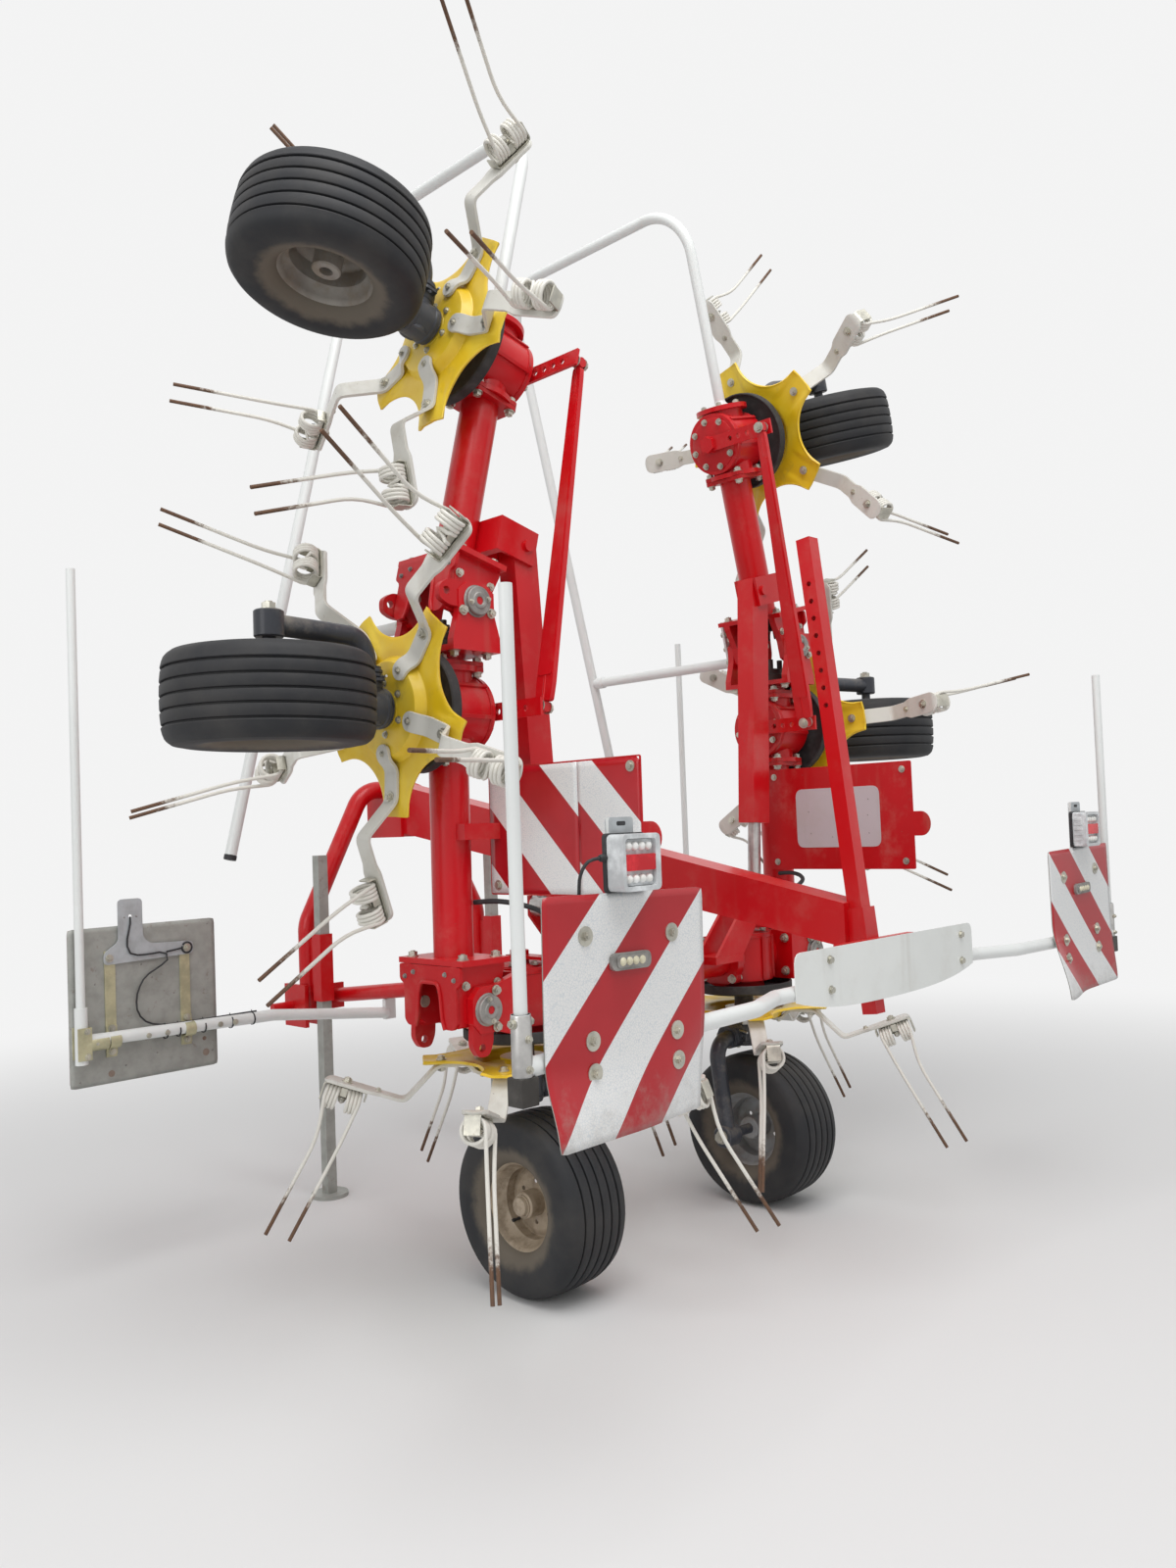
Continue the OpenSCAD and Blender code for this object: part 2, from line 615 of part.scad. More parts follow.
module inner_arm(left) color("firebrick") on_inner(left) {
    // arm that carries the side plate
    block([fold_x + 410, -80, -20], [fold_x + 450, -20, side_low.z]);
    translate([fold_x, 0, 0]) joint_half(false, 1);
    translate([fold_x + joint_l + foot_t, 0, 0]) rotate([0, 90, 0])
        cylinder(r = beam_r, h = rotor_x[1] - housing_out - fold_x - joint_l - foot_t);
    translate([rotor_x[1], 0, 0]) {
        housing();
        lever();
    }
    translate([rotor_x[1] + housing_out, 0, 0]) rotate([0, 90, 0])
        cylinder(r = beam_r, h = fold2_x - joint_l - foot_t - rotor_x[1] - housing_out);
    translate([fold2_x, 0, 0]) joint_half(true, -1);
}

module outer_arm(left) color("firebrick") on_outer(left) {
    translate([fold2_x, 0, 0]) joint_half(false, 1);
    translate([fold2_x + joint_l + foot_t, 0, 0]) rotate([0, 90, 0])
        cylinder(r = beam_r, h = rotor_x[2] - housing_out - fold2_x - joint_l - foot_t);
    translate([rotor_x[2], 0, 0]) {
        housing();
        lever();
    }
    // plates and pin for the upper end of the cylinder
    translate([fold2_x + lift_reach, -lift_back, 0]) {
        for (k = [-1, 1]) {
            y = k * (bracket_gap + bracket_t) / 2;
            block([-lug_x, y - bracket_t / 2, beam_r - 10], [lug_x, y + bracket_t / 2, lift_top + 30]);
        }
        block([-lug_x, -bracket_gap / 2 - bracket_t, beam_r - 12], [lug_x, lift_back + 30, beam_r + 10]);
        translate([0, 0, lift_top]) rotate([90, 0, 0])
            cylinder(r = lift_pin_r, h = bracket_gap + 2 * bracket_t + 16, center = true);
    }
}

module inner_leg(left) color("dimgray") at_rotor(left, 1) wheel_leg(1);

module outer_leg(left) color("dimgray") at_rotor(left, 2) wheel_leg(1);

module side_plate(left) color("white") on_inner(left)
    block(side_low, side_high);

guard_y = 820;
guard_r = 17;
guard_end = 3130;
cross_x = fold2_x - 22;

module guard(left) color("white") on_outer(left) {
    bent_tube([[rotor_x[2] + housing_out, 0, 0], [guard_end, 0, 0], [guard_end, guard_y, 0],
        [1050, guard_y, 0]], guard_r, 160);
    bar([cross_x, 152, 0], [cross_x, guard_y, 0], guard_r);
    block([cross_x - 30, 144, -30], [fold2_x + joint_l + foot_t, 152, 30]);
    block([fold2_x + joint_l, fork_w / 2, -30], [fold2_x + joint_l + foot_t, 144, 30]);
}

// Lift cylinder: the channel hangs on the outer section, the rod's eye sits between the frame's ears

function fold_point(p, x, a) = [x + (p.x - x) * cos(a) - p.y * sin(a), (p.x - x) * sin(a) + p.y * cos(a)];
upper_spread = [fold2_x + lift_reach, lift_top];
upper = fold_point(fold_point(upper_spread, fold2_x, fold_out), fold_x, fold_in);
lower = [lift_x, lift_h];
lift_len = norm(upper - lower);
lift_tilt = atan2(upper.x - lower.x, upper.y - lower.y);
channel_l = lift_len - 190;
channel_w = 60;
channel_h = 80;

// drawn along +Z from the rod's eye, with the folded length
module lift_place(left) side(left)
    translate([lower.x, -lift_back, shaft_h + lower.y]) rotate([0, lift_tilt, 0]) children();

module channel(left) color("firebrick") lift_place(left) difference() {
    block([-channel_h / 2, -channel_w / 2, lift_len - channel_l], [channel_h / 2, channel_w / 2, lift_len + 35]);
    translate([0, 0, lift_len - channel_l - 1]) cylinder(r = 20 + run_gap, h = channel_l - 60);
    translate([0, 0, lift_len]) rotate([90, 0, 0])
        cylinder(r = lift_pin_r + run_gap, h = channel_w + 2, center = true);
}

module rod(left) color("silver") lift_place(left) {
    translate([0, 0, 24]) cylinder(r = 20, h = lift_len - 100);
    rotate([90, 0, 0]) difference() {
        cylinder(r = 30, h = bracket_gap - 2 * seat_gap, center = true);
        cylinder(r = 15, h = bracket_gap + 2, center = true);
    }
}

// Tie rod between the levers: a round eye at each end, above a stub on each lever
ball_r = 13;
ball_gap = 0.9;
eye_l = 24;
stub_h = 8;
tie_z = lever_z + lever_t + stub_h + ball_gap + ball_r;
tie_inner = [rotor_x[1], tie_z];
tie_outer = fold_point([rotor_x[2], tie_z], fold2_x, fold_out);

module tie(left) color("firebrick") on_inner(left) {
    a = [tie_inner.x, tie_y, tie_inner.y];
    b = [tie_outer.x, tie_y, tie_outer.y];
    bar(a, b, 8);
    for (p = [a, b]) translate(p) rotate([90, 0, 0]) cylinder(r = ball_r, h = eye_l, center = true);
}

crossbeam();
centre_housings();
pto_stub();
spine();
headstock();
centre_legs();
name_plate();
board_tubes();
warning_boards();
marker_poles();
tail_lamps();
rear_post();
front_leg(true);  // front_leg_left
front_leg(false);  // front_leg_right
inner_arm(true);  // left_inner_arm
inner_leg(true);  // left_inner_leg
side_plate(true);  // left_side_plate
outer_arm(true);  // left_outer_arm
outer_leg(true);  // left_outer_leg
guard(true);  // left_guard
channel(true);  // left_channel
rod(true);  // left_rod
tie(true);  // left_tie
inner_arm(false);  // right_inner_arm
inner_leg(false);  // right_inner_leg
side_plate(false);  // right_side_plate
outer_arm(false);  // right_outer_arm
outer_leg(false);  // right_outer_leg
guard(false);  // right_guard
channel(false);  // right_channel
rod(false);  // right_rod
tie(false);  // right_tie
star(true, 0);  // left_centre_star
tines(true, 0);  // left_centre_tines
tyre(true, 0);  // left_centre_tyre
rim(true, 0);  // left_centre_rim
star(true, 1);  // left_inner_star
tines(true, 1);  // left_inner_tines
tyre(true, 1);  // left_inner_tyre
rim(true, 1);  // left_inner_rim
star(true, 2);  // left_outer_star
tines(true, 2);  // left_outer_tines
tyre(true, 2);  // left_outer_tyre
rim(true, 2);  // left_outer_rim
star(false, 0);  // right_centre_star
tines(false, 0);  // right_centre_tines
tyre(false, 0);  // right_centre_tyre
rim(false, 0);  // right_centre_rim
star(false, 1);  // right_inner_star
tines(false, 1);  // right_inner_tines
tyre(false, 1);  // right_inner_tyre
rim(false, 1);  // right_inner_rim
star(false, 2);  // right_outer_star
tines(false, 2);  // right_outer_tines
tyre(false, 2);  // right_outer_tyre
rim(false, 2);  // right_outer_rim
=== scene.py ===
import json
import math

import bmesh
import bpy
import numpy as np
from mathutils import Matrix, Vector, geometry


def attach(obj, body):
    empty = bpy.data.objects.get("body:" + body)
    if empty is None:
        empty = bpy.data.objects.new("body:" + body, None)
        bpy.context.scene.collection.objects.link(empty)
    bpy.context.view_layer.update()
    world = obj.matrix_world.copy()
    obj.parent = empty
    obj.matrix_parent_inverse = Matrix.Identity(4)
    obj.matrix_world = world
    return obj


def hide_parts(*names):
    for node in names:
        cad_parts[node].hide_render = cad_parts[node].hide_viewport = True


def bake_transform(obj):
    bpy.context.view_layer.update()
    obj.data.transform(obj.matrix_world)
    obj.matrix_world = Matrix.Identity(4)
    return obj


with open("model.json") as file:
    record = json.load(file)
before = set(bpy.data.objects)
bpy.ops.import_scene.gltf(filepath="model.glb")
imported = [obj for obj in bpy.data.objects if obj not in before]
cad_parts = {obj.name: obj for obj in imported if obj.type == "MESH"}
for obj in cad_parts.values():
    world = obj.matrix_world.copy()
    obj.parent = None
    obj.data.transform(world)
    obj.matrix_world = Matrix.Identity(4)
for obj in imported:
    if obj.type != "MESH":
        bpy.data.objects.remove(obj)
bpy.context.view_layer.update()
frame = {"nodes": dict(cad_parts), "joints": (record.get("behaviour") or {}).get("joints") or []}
nodes = frame["nodes"]
joints = {j["name"]: j for j in frame["joints"]}
SIDES = ("left", "right")
PLACES = ("centre", "inner", "outer")
MM = 0.001

# Camera, at the photograph's place; its focal length is in pixels of the photograph
FOCAL_PX, PHOTO_H = 1218.2, 1600
CAMERA_AT = (-2.5776, -2.5133, 1.1914)
yaw, pitch, roll = (math.radians(a) for a in (45.5123, 1.9083, -2.1758))
ahead = Vector((math.sin(yaw) * math.cos(pitch), math.cos(yaw) * math.cos(pitch), math.sin(pitch)))
level = Vector((math.cos(yaw), -math.sin(yaw), 0))
above = level.cross(ahead)
across = math.cos(roll) * level + math.sin(roll) * above
upward = math.cos(roll) * above - math.sin(roll) * level
lens = bpy.data.cameras.new("camera")
lens.sensor_width = 36
lens.lens = 36 * FOCAL_PX / PHOTO_H
lens.clip_end = 100
camera = bpy.data.objects.new("camera", lens)
bpy.context.scene.collection.objects.link(camera)
turn = Matrix((across, upward, -ahead)).transposed().to_4x4()
camera.matrix_world = Matrix.Translation(CAMERA_AT) @ turn
bpy.context.scene.camera = camera
bpy.context.scene.view_settings.view_transform = "Standard"


# Shader maths
class Num:
    """A number in a shader; its operators add Math nodes."""

    def __init__(self, shader, socket):
        self.shader, self.socket = shader, socket

    def do(self, operation, *others):
        return self.shader.math(operation, self, *others)

    def __add__(self, other):
        return self.do("ADD", other)

    def __sub__(self, other):
        return self.do("SUBTRACT", other)

    def __rsub__(self, other):
        return self.shader.math("SUBTRACT", other, self)

    def __mul__(self, other):
        return self.do("MULTIPLY", other)

    def __gt__(self, other):
        return self.do("GREATER_THAN", other)

    def __lt__(self, other):
        return self.do("LESS_THAN", other)

    __radd__, __rmul__ = __add__, __mul__


class Shader:
    """A material under way: one surface, and the nodes that feed it."""

    def __init__(self, name):
        self.material = bpy.data.materials.new(name)
        self.material.use_nodes = True
        self.tree = self.material.node_tree
        self.tree.nodes.clear()
        self.surface = self.node("BsdfPrincipled")
        self.end = self.node("OutputMaterial").inputs[0]
        self.tree.links.new(self.surface.outputs[0], self.end)
        self.coords = self.node("TexCoord")
        self.where = self.coords.outputs["Object"]

    def put(self, socket, value):
        """Feeds a socket with what another node gives, or sets it to a plain value."""
        if isinstance(value, Num):
            value = value.socket
        if isinstance(value, bpy.types.NodeSocket):
            self.tree.links.new(value, socket)
        elif isinstance(value, (tuple, list)) and len(value) == 3 and socket.type == "RGBA":
            socket.default_value = (*value, 1)
        else:
            socket.default_value = value

    def node(self, kind, settings=None, values=None):
        """Adds a node, sets it and feeds it."""
        made = self.tree.nodes.new("ShaderNode" + kind)
        for key, value in (settings or {}).items():
            setattr(made, key, value)
        for key, value in (values or {}).items():
            self.put(made.inputs[key], value)
        return made

    def math(self, operation, *values):
        made = self.node("Math", {"operation": operation}, dict(enumerate(values)))
        return Num(self, made.outputs[0])

    def step(self, value, low, high, to_low=0.0, to_high=1.0):
        made = self.node("MapRange", {"interpolation_type": "SMOOTHSTEP"},
                         {0: value, 1: low, 2: high, 3: to_low, 4: to_high})
        return Num(self, made.outputs[0])

    def mix(self, share, first, second):
        made = self.node("Mix", {"data_type": "RGBA"}, {0: share, 6: first, 7: second})
        return made.outputs[2]

    def noise(self, scale, detail=4.0, rough=0.55, where=None, warp=0.0):
        made = self.node("TexNoise", None, {"Vector": where or self.where, "Scale": scale,
                                            "Detail": detail, "Roughness": rough, "Distortion": warp})
        return Num(self, made.outputs[0])

    def cell_edges(self, scale):
        made = self.node("TexVoronoi", {"feature": "DISTANCE_TO_EDGE"},
                         {"Vector": self.where, "Scale": scale})
        return Num(self, made.outputs[0])

    def split(self, vector):
        made = self.node("SeparateXYZ", None, {0: vector})
        return [Num(self, s) for s in made.outputs]

    def attribute(self, name):
        made = self.node("Attribute", {"attribute_name": name})
        return Num(self, made.outputs["Fac"])

    def stretched(self, x, y, z):
        return self.node("Mapping", None, {"Vector": self.where, "Scale": (x, y, z)}).outputs[0]

    def bump(self, height, strength):
        """Roughens the surface by up to a millimetre."""
        made = self.node("Bump", None, {"Height": height, "Strength": strength, "Distance": MM})
        self.put(self.surface.inputs["Normal"], made.outputs[0])

    def finish(self, **values):
        for key, value in values.items():
            self.put(self.surface.inputs[key.replace("_", " ")], value)
        return self.material


# Materials
DIRT, DUST = (0.30, 0.25, 0.19), (0.42, 0.37, 0.30)
BAND = 100                                               # millimetres across one band, red or white


def paint(name, colour, faded, dusty=0.5, rough=0.32, coat=0.25, chips=0.0, chip=(0.12, 0.10, 0.09),
          streaks=0.3, peel=0.06):
    """Sprayed paint: it fades in patches, dust lies on what faces up, dirt runs down, and it chips."""
    s = Shader(name)
    up = s.split(s.coords.outputs["Normal"])[2]
    patches = s.step(s.noise(2.3, 3), 0.38, 0.68)
    fine = s.noise(55, 5, 0.65)
    dust = s.step(s.noise(9, 6, 0.62) + up * 0.12 + fine * 0.25, 0.60, 0.92) * dusty
    runs = s.step(s.noise(11, 4, 0.5, s.stretched(1.6, 1.6, 0.16)), 0.58, 0.80) * streaks
    base = s.mix(patches, colour, faded)
    base = s.mix(runs, base, DIRT)
    base = s.mix(dust, base, DUST)
    if chips:
        spots = (s.noise(95, 3, 0.7) > 0.70) * (s.noise(13, 2) > 0.52) * chips
        base = s.mix(spots, base, chip)
    if peel:
        s.bump(s.noise(420, 2) * 0.4 + fine * 0.6, peel)
    return s.finish(Base_Color=base, Roughness=dust * 0.35 + fine * 0.16 + rough,
                    Coat_Weight=coat * (1 - dust), Coat_Roughness=0.18, Specular_IOR_Level=0.32)


def metal(name, colour, dull, rough=0.38, grain=(1, 1, 1), rust=0.0, metallic=0.9):
    """Zinc or bare steel: cloudy, lightly brushed, with brown spots where it has begun to rust."""
    s = Shader(name)
    cloud = s.step(s.noise(26, 5, 0.6), 0.35, 0.70)
    lines = s.noise(170, 3, 0.6, s.stretched(*grain))
    base = s.mix(cloud, colour, dull)
    spots = s.step(s.noise(34, 5, 0.7), 0.60, 0.70) * rust
    base = s.mix(spots, base, (0.16, 0.07, 0.03))
    s.bump(lines, 0.08)
    return s.finish(Base_Color=base, Metallic=metallic * (1 - spots),
                    Roughness=lines * 0.2 + spots * 0.4 + rough)


def yellow_paint():
    """Pressed star: yellow, scuffed round in arcs, with grease and earth in its hollows."""
    s = Shader("yellow_paint")
    broad = s.step(s.noise(5, 4), 0.40, 0.66)
    scuffs = s.step(s.noise(30, 6, 0.7, s.stretched(0.35, 1, 1), 0.6), 0.60, 0.74)
    grime = s.step(s.noise(13, 6, 0.65), 0.56, 0.78) * 0.55
    base = s.mix(broad, (0.80, 0.52, 0.010), (0.86, 0.62, 0.05))
    base = s.mix(scuffs * 0.25, base, (0.70, 0.56, 0.22))
    base = s.mix(grime, base, (0.30, 0.21, 0.06))
    s.bump(s.noise(160, 4, 0.6), 0.10)
    return s.finish(Base_Color=base, Roughness=grime * 0.3 + scuffs * 0.15 + 0.36, Coat_Weight=0.15,
                    Coat_Roughness=0.25)


def wire_paint():
    """Tine wire: cream paint that is worn down to rusty steel towards the tips."""
    s = Shader("tine_wire")
    along = s.attribute("along")
    worn = s.step(along + (s.noise(60, 5, 0.7) - 0.5) * 0.5, 0.62, 0.80)
    specks = s.step(s.noise(70, 3, 0.7), 0.68, 0.73) * 0.3
    rust = s.mix(s.noise(80, 4), (0.20, 0.10, 0.05), (0.08, 0.055, 0.045))
    base = s.mix(worn, s.mix(specks, (0.74, 0.72, 0.66), (0.34, 0.26, 0.19)), rust)
    return s.finish(Base_Color=base, Roughness=worn * 0.25 + 0.42, Metallic=worn * 0.35)


def tyre_rubber():
    """Black rubber, dusty all over and earthy on the sidewall; attribute side is 1 by the rim."""
    s = Shader("tyre")
    side = s.attribute("side")
    haze = s.step(s.noise(7, 5, 0.6), 0.35, 0.75) * 0.5
    black = s.mix(haze, (0.020, 0.021, 0.024), (0.060, 0.056, 0.052))
    earth = s.step(side + (s.noise(24, 6, 0.65) - 0.5) * 0.55, 0.40, 0.85) * 0.5
    base = s.mix(earth, black, (0.24, 0.20, 0.15))
    s.bump(s.noise(240, 4, 0.6), 0.15)
    return s.finish(Base_Color=base, Roughness=earth * 0.2 + 0.62, Specular_IOR_Level=0.35)


def rim_paint(name, colour, faded, earth):
    """Dull rim paint under dried earth."""
    s = Shader(name)
    cloud = s.step(s.noise(10, 5, 0.6), 0.35, 0.70)
    mud = s.step(s.noise(18, 6, 0.7), 0.42, 0.66) * earth
    base = s.mix(mud, s.mix(cloud, colour, faded), (0.20, 0.15, 0.10))
    s.bump(s.noise(130, 5, 0.65), 0.2)
    return s.finish(Base_Color=base, Roughness=mud * 0.25 + 0.5, Metallic=0.1)


def plastic(name, colour, rough=0.5):
    """Moulded plastic or a greasy cast face: slightly cloudy, with a fine grain."""
    s = Shader(name)
    cloud = s.noise(30, 5, 0.6)
    base = s.mix(s.step(cloud, 0.4, 0.8), colour, tuple(min(1, c * 1.6 + 0.02) for c in colour))
    s.bump(s.noise(350, 3), 0.08)
    return s.finish(Base_Color=base, Roughness=cloud * 0.2 + rough)


def stripes():
    """Reflecting sheet with slanting red bands; attribute slant is the distance
    across the bands in millimetres, and attribute low runs from 0 at the top to 1 at the foot."""
    s = Shader("warning_stripes")
    slant, low = s.attribute("slant"), s.attribute("low")
    wobble = (s.noise(60, 4, 0.7) - 0.5) * 2.0
    band = s.math("PINGPONG", slant + BAND / 2, BAND)
    red = s.step(band, BAND / 2 - 0.6, BAND / 2 + 0.6)
    edge = s.step(band + wobble, BAND / 2 + 0.5, BAND / 2 + 1.5) * (band < BAND / 2 + 4.5)
    bitten = edge * (s.noise(70, 3, 0.7) > 0.58)
    honey = s.step(s.cell_edges(190), 0.03, 0.10)
    cloud = s.step(s.noise(6, 4), 0.35, 0.7)
    white = s.mix(honey, (0.66, 0.69, 0.71), (0.80, 0.80, 0.79))
    deep = s.mix(cloud, (0.40, 0.002, 0.008), (0.46, 0.006, 0.014))
    colour = s.mix(red, white, deep)
    colour = s.mix(bitten, colour, (0.30, 0.02, 0.03))
    dirt = s.step(low + (s.noise(30, 6, 0.7) - 0.5) * 0.9, 0.80, 1.25)
    colour = s.mix(dirt * 0.5, colour, (0.36, 0.33, 0.29))
    scratches = s.step(s.noise(34, 6, 0.75, warp=0.8), 0.70, 0.73) * s.step(low, 0.35, 0.9)
    colour = s.mix(scratches * 0.7, colour, (0.10, 0.09, 0.09))
    s.bump(honey, 0.05)
    return s.finish(Base_Color=colour, Roughness=dirt * 0.3 + 0.34, Coat_Weight=0.25,
                    Coat_Roughness=0.2)


RED = paint("red_paint", (0.55, 0.001, 0.004), (0.59, 0.004, 0.010), dusty=0.10, streaks=0.14, chips=0.3,
            rough=0.24, coat=0.2)
CAST = paint("cast_red", (0.47, 0.001, 0.004), (0.53, 0.004, 0.009), dusty=0.20, streaks=0.3, chips=0.5,
             peel=0.16, coat=0.1)
WHITE = paint("white_paint", (0.78, 0.80, 0.79), (0.72, 0.74, 0.73), dusty=0.05, streaks=0.08, peel=0)
CREAM = paint("arm_paint", (0.70, 0.69, 0.64), (0.60, 0.59, 0.54), dusty=0.4, streaks=0.3, chips=0.6,
              chip=(0.20, 0.14, 0.10))
DARK = paint("dark_paint", (0.030, 0.033, 0.042), (0.060, 0.065, 0.080), dusty=0.45, streaks=0.3, chips=0.4,
             chip=(0.18, 0.13, 0.09), rough=0.42)
BLANK = paint("plate_white", (0.80, 0.82, 0.80), (0.74, 0.76, 0.74), dusty=0.15, streaks=0.2, peel=0.02,
              rough=0.28)
PANEL = paint("pale_panel", (0.52, 0.46, 0.48), (0.46, 0.40, 0.42), dusty=0.3, streaks=0.2, rough=0.45)
ZINC = metal("zinc_steel", (0.62, 0.60, 0.52), (0.42, 0.41, 0.36), 0.34, rust=0.25)
BRIGHT = metal("bright_steel", (0.60, 0.59, 0.57), (0.42, 0.41, 0.40), 0.22, (1, 1, 0.1), rust=0.15)
GALV = metal("sheet_back", (0.40, 0.405, 0.38), (0.33, 0.335, 0.31), 0.50, (0.1, 1, 1), rust=0.3,
             metallic=0.4)
PLATE_ZINC = metal("light_zinc_plate", (0.50, 0.53, 0.55), (0.40, 0.42, 0.43), 0.42, rust=0.05, metallic=0.35)
STRIP_ZINC = metal("yellow_zinc", (0.58, 0.55, 0.36), (0.44, 0.42, 0.28), 0.40, rust=0.1, metallic=0.6)
GREY_CAST = metal("pivot_steel", (0.36, 0.35, 0.33), (0.22, 0.21, 0.20), 0.5, rust=0.3, metallic=0.6)
RUSTY = metal("rust_marks", (0.20, 0.13, 0.10), (0.30, 0.24, 0.20), 0.7, rust=0.6, metallic=0.1)
RIMS = {"left_centre": rim_paint("rim_earthy", (0.44, 0.36, 0.27), (0.34, 0.27, 0.19), 0.75),
        "right_centre": rim_paint("rim_grey", (0.36, 0.37, 0.38), (0.28, 0.28, 0.27), 0.45)}
RIM_OTHER = rim_paint("rim_dusty", (0.28, 0.26, 0.23), (0.20, 0.18, 0.16), 0.6)
YELLOW = yellow_paint()
WIRE = wire_paint()
TYRE = tyre_rubber()
STRIPES = stripes()
BLACK = plastic("black_plastic", (0.016, 0.016, 0.018))
SHIELD = plastic("shield_black", (0.022, 0.021, 0.021), 0.6)
GREASE = plastic("greasy_coupling", (0.030, 0.026, 0.022), 0.42)
CLEAR = plastic("lamp_shell", (0.52, 0.54, 0.55), 0.12)
LENS = plastic("lamp_lens", (0.80, 0.80, 0.76), 0.08)
RED_LENS = plastic("red_lens", (0.55, 0.006, 0.014), 0.10)
AMBER = plastic("strip_lens", (0.62, 0.58, 0.42), 0.10)


# Shapes, in millimetres
def tube(points, radius, sides=12):
    """A round bar along points; radius is one number or one a point."""
    p = np.array(points, float)
    radii = np.broadcast_to(np.array(radius, float), (len(p),))
    way = np.gradient(p, axis=0)
    way /= np.linalg.norm(way, axis=1)[:, None]
    first = np.cross(way[0], (0.31, 0.52, 0.79))
    side = [first / np.linalg.norm(first)]
    for w in way[1:]:
        s = side[-1] - w * (side[-1] @ w)
        side.append(s / np.linalg.norm(s))
    side = np.array(side)
    other = np.cross(way, side)
    a = np.arange(sides) * 2 * math.pi / sides
    ring = side[:, None] * np.cos(a)[:, None] + other[:, None] * np.sin(a)[:, None]
    verts = (p[:, None] + ring * radii[:, None, None]).reshape(-1, 3)
    faces = [(i + k, i + (k + 1) % sides, i + sides + (k + 1) % sides, i + sides + k)
             for i in range(0, (len(p) - 1) * sides, sides) for k in range(sides)]
    faces += [tuple(range(sides))[::-1], tuple((len(p) - 1) * sides + k for k in range(sides))]
    return verts, faces


def lathe(profile, steps=48, closed=False):
    """Turns (radius, height) points about Z; closed joins the last point to the first."""
    verts = [(r * math.cos(t), r * math.sin(t), z) for k in range(steps)
             for t in [k * 2 * math.pi / steps] for r, z in profile]
    n = len(profile)
    faces = []
    for k in range(steps):
        m = (k + 1) % steps
        for i in range(n if closed else n - 1):
            j = (i + 1) % n
            faces.append((k * n + i, m * n + i, m * n + j, k * n + j))
    return np.array(verts), faces


def plate(loops, low, high):
    """An upright prism; the first loop of (x, y) points is the outline, the others are holes."""
    flat = [Vector((x, y, 0)) for loop in loops for x, y in loop]
    caps = geometry.tessellate_polygon([[Vector((x, y, 0)) for x, y in loop] for loop in loops])
    n = len(flat)
    verts = [(v.x, v.y, low) for v in flat] + [(v.x, v.y, high) for v in flat]
    faces = [tuple(c) for c in caps] + [tuple(i + n for i in reversed(c)) for c in caps]
    start = 0
    for loop in loops:
        m = len(loop)
        faces += [(start + i, start + (i + 1) % m, n + start + (i + 1) % m, n + start + i) for i in range(m)]
        start += m
    return np.array(verts), faces


def cuboid(low, high):
    """A box between two corners."""
    (a, b, c), (d, e, f) = low, high
    return plate([[(a, b), (d, b), (d, e), (a, e)]], c, f)


def circle(x, y, r, steps=24):
    """A round outline about (x, y)."""
    return [(x + r * math.cos(k * 2 * math.pi / steps), y + r * math.sin(k * 2 * math.pi / steps))
            for k in range(steps)]


def oblong(width, height, r=0, steps=5):
    """The outline of an upright rectangle about zero, with round corners."""
    u, v = width / 2, height / 2
    corners = [(-u, -v), (u, -v), (u, v), (-u, v)]
    return rounded(corners, r, steps) if r else corners


def unit(v):
    """The same way, with a length of 1."""
    return v / np.linalg.norm(v)


def rounded(corners, r, steps=5):
    """Rounds the corners of an (x, y) outline."""
    out = []
    n = len(corners)
    for i in range(n):
        a, b, c = (np.array(corners[k % n], float) for k in (i - 1, i, i + 1))
        u, v = unit(a - b), unit(c - b)
        cut = min(r, np.linalg.norm(a - b) * 0.45, np.linalg.norm(c - b) * 0.45)
        p, q = b + u * cut, b + v * cut
        for k in range(steps + 1):
            t = k / steps
            out.append(tuple((1 - t) ** 2 * p + 2 * t * (1 - t) * b + t * t * q))
    return out


def route(corners, r, steps=8):
    """Rounds the corners of a path in space."""
    c = [np.array(p, float) for p in corners]
    out = [c[0]]
    for a, b, d in zip(c, c[1:], c[2:]):
        u, v = unit(a - b), unit(d - b)
        cut = min(r, np.linalg.norm(a - b) * 0.48, np.linalg.norm(d - b) * 0.48)
        p, q = b + u * cut, b + v * cut
        out += [(1 - t) ** 2 * p + 2 * t * (1 - t) * b + t * t * q for t in np.linspace(0, 1, steps + 1)]
    return np.array(out + [c[-1]])


def bent(corners, r):
    """A path with every corner turned on a true arc of radius r, in steps of about 6 degrees."""
    c = [np.array(p, float) for p in corners]
    out = [c[0]]
    for a, b, d in zip(c, c[1:], c[2:]):
        u, v = unit(a - b), unit(d - b)
        half = math.acos(np.clip(u @ v, -1, 1)) / 2
        middle = b + unit(u + v) * r / math.sin(half)
        p, q = b + u * r / math.tan(half) - middle, b + v * r / math.tan(half) - middle
        turn = math.pi - 2 * half
        n = max(3, round(math.degrees(turn) / 6))
        for k in range(n + 1):
            t = turn * k / n
            out.append(middle + (p * math.sin(turn - t) + q * math.sin(t)) / math.sin(turn))
    return np.array(out + [c[-1]])


def carried(points, place):
    """Points given in a place, as they lie in the frame around it."""
    m = np.array(place, float)
    return np.array(points, float) @ m[:3, :3].T + m[:3, 3]


def at(x=0, y=0, z=0, turn=0, axis="Z"):
    """A place moved to a point and turned there by degrees about an axis."""
    return Matrix.Translation((x, y, z)) @ Matrix.Rotation(math.radians(turn), 4, axis)


def aimed(start, way):
    """A place at start whose Z points along way."""
    return Matrix.Translation(start) @ Vector(way).to_track_quat("Z", "Y").to_matrix().to_4x4()


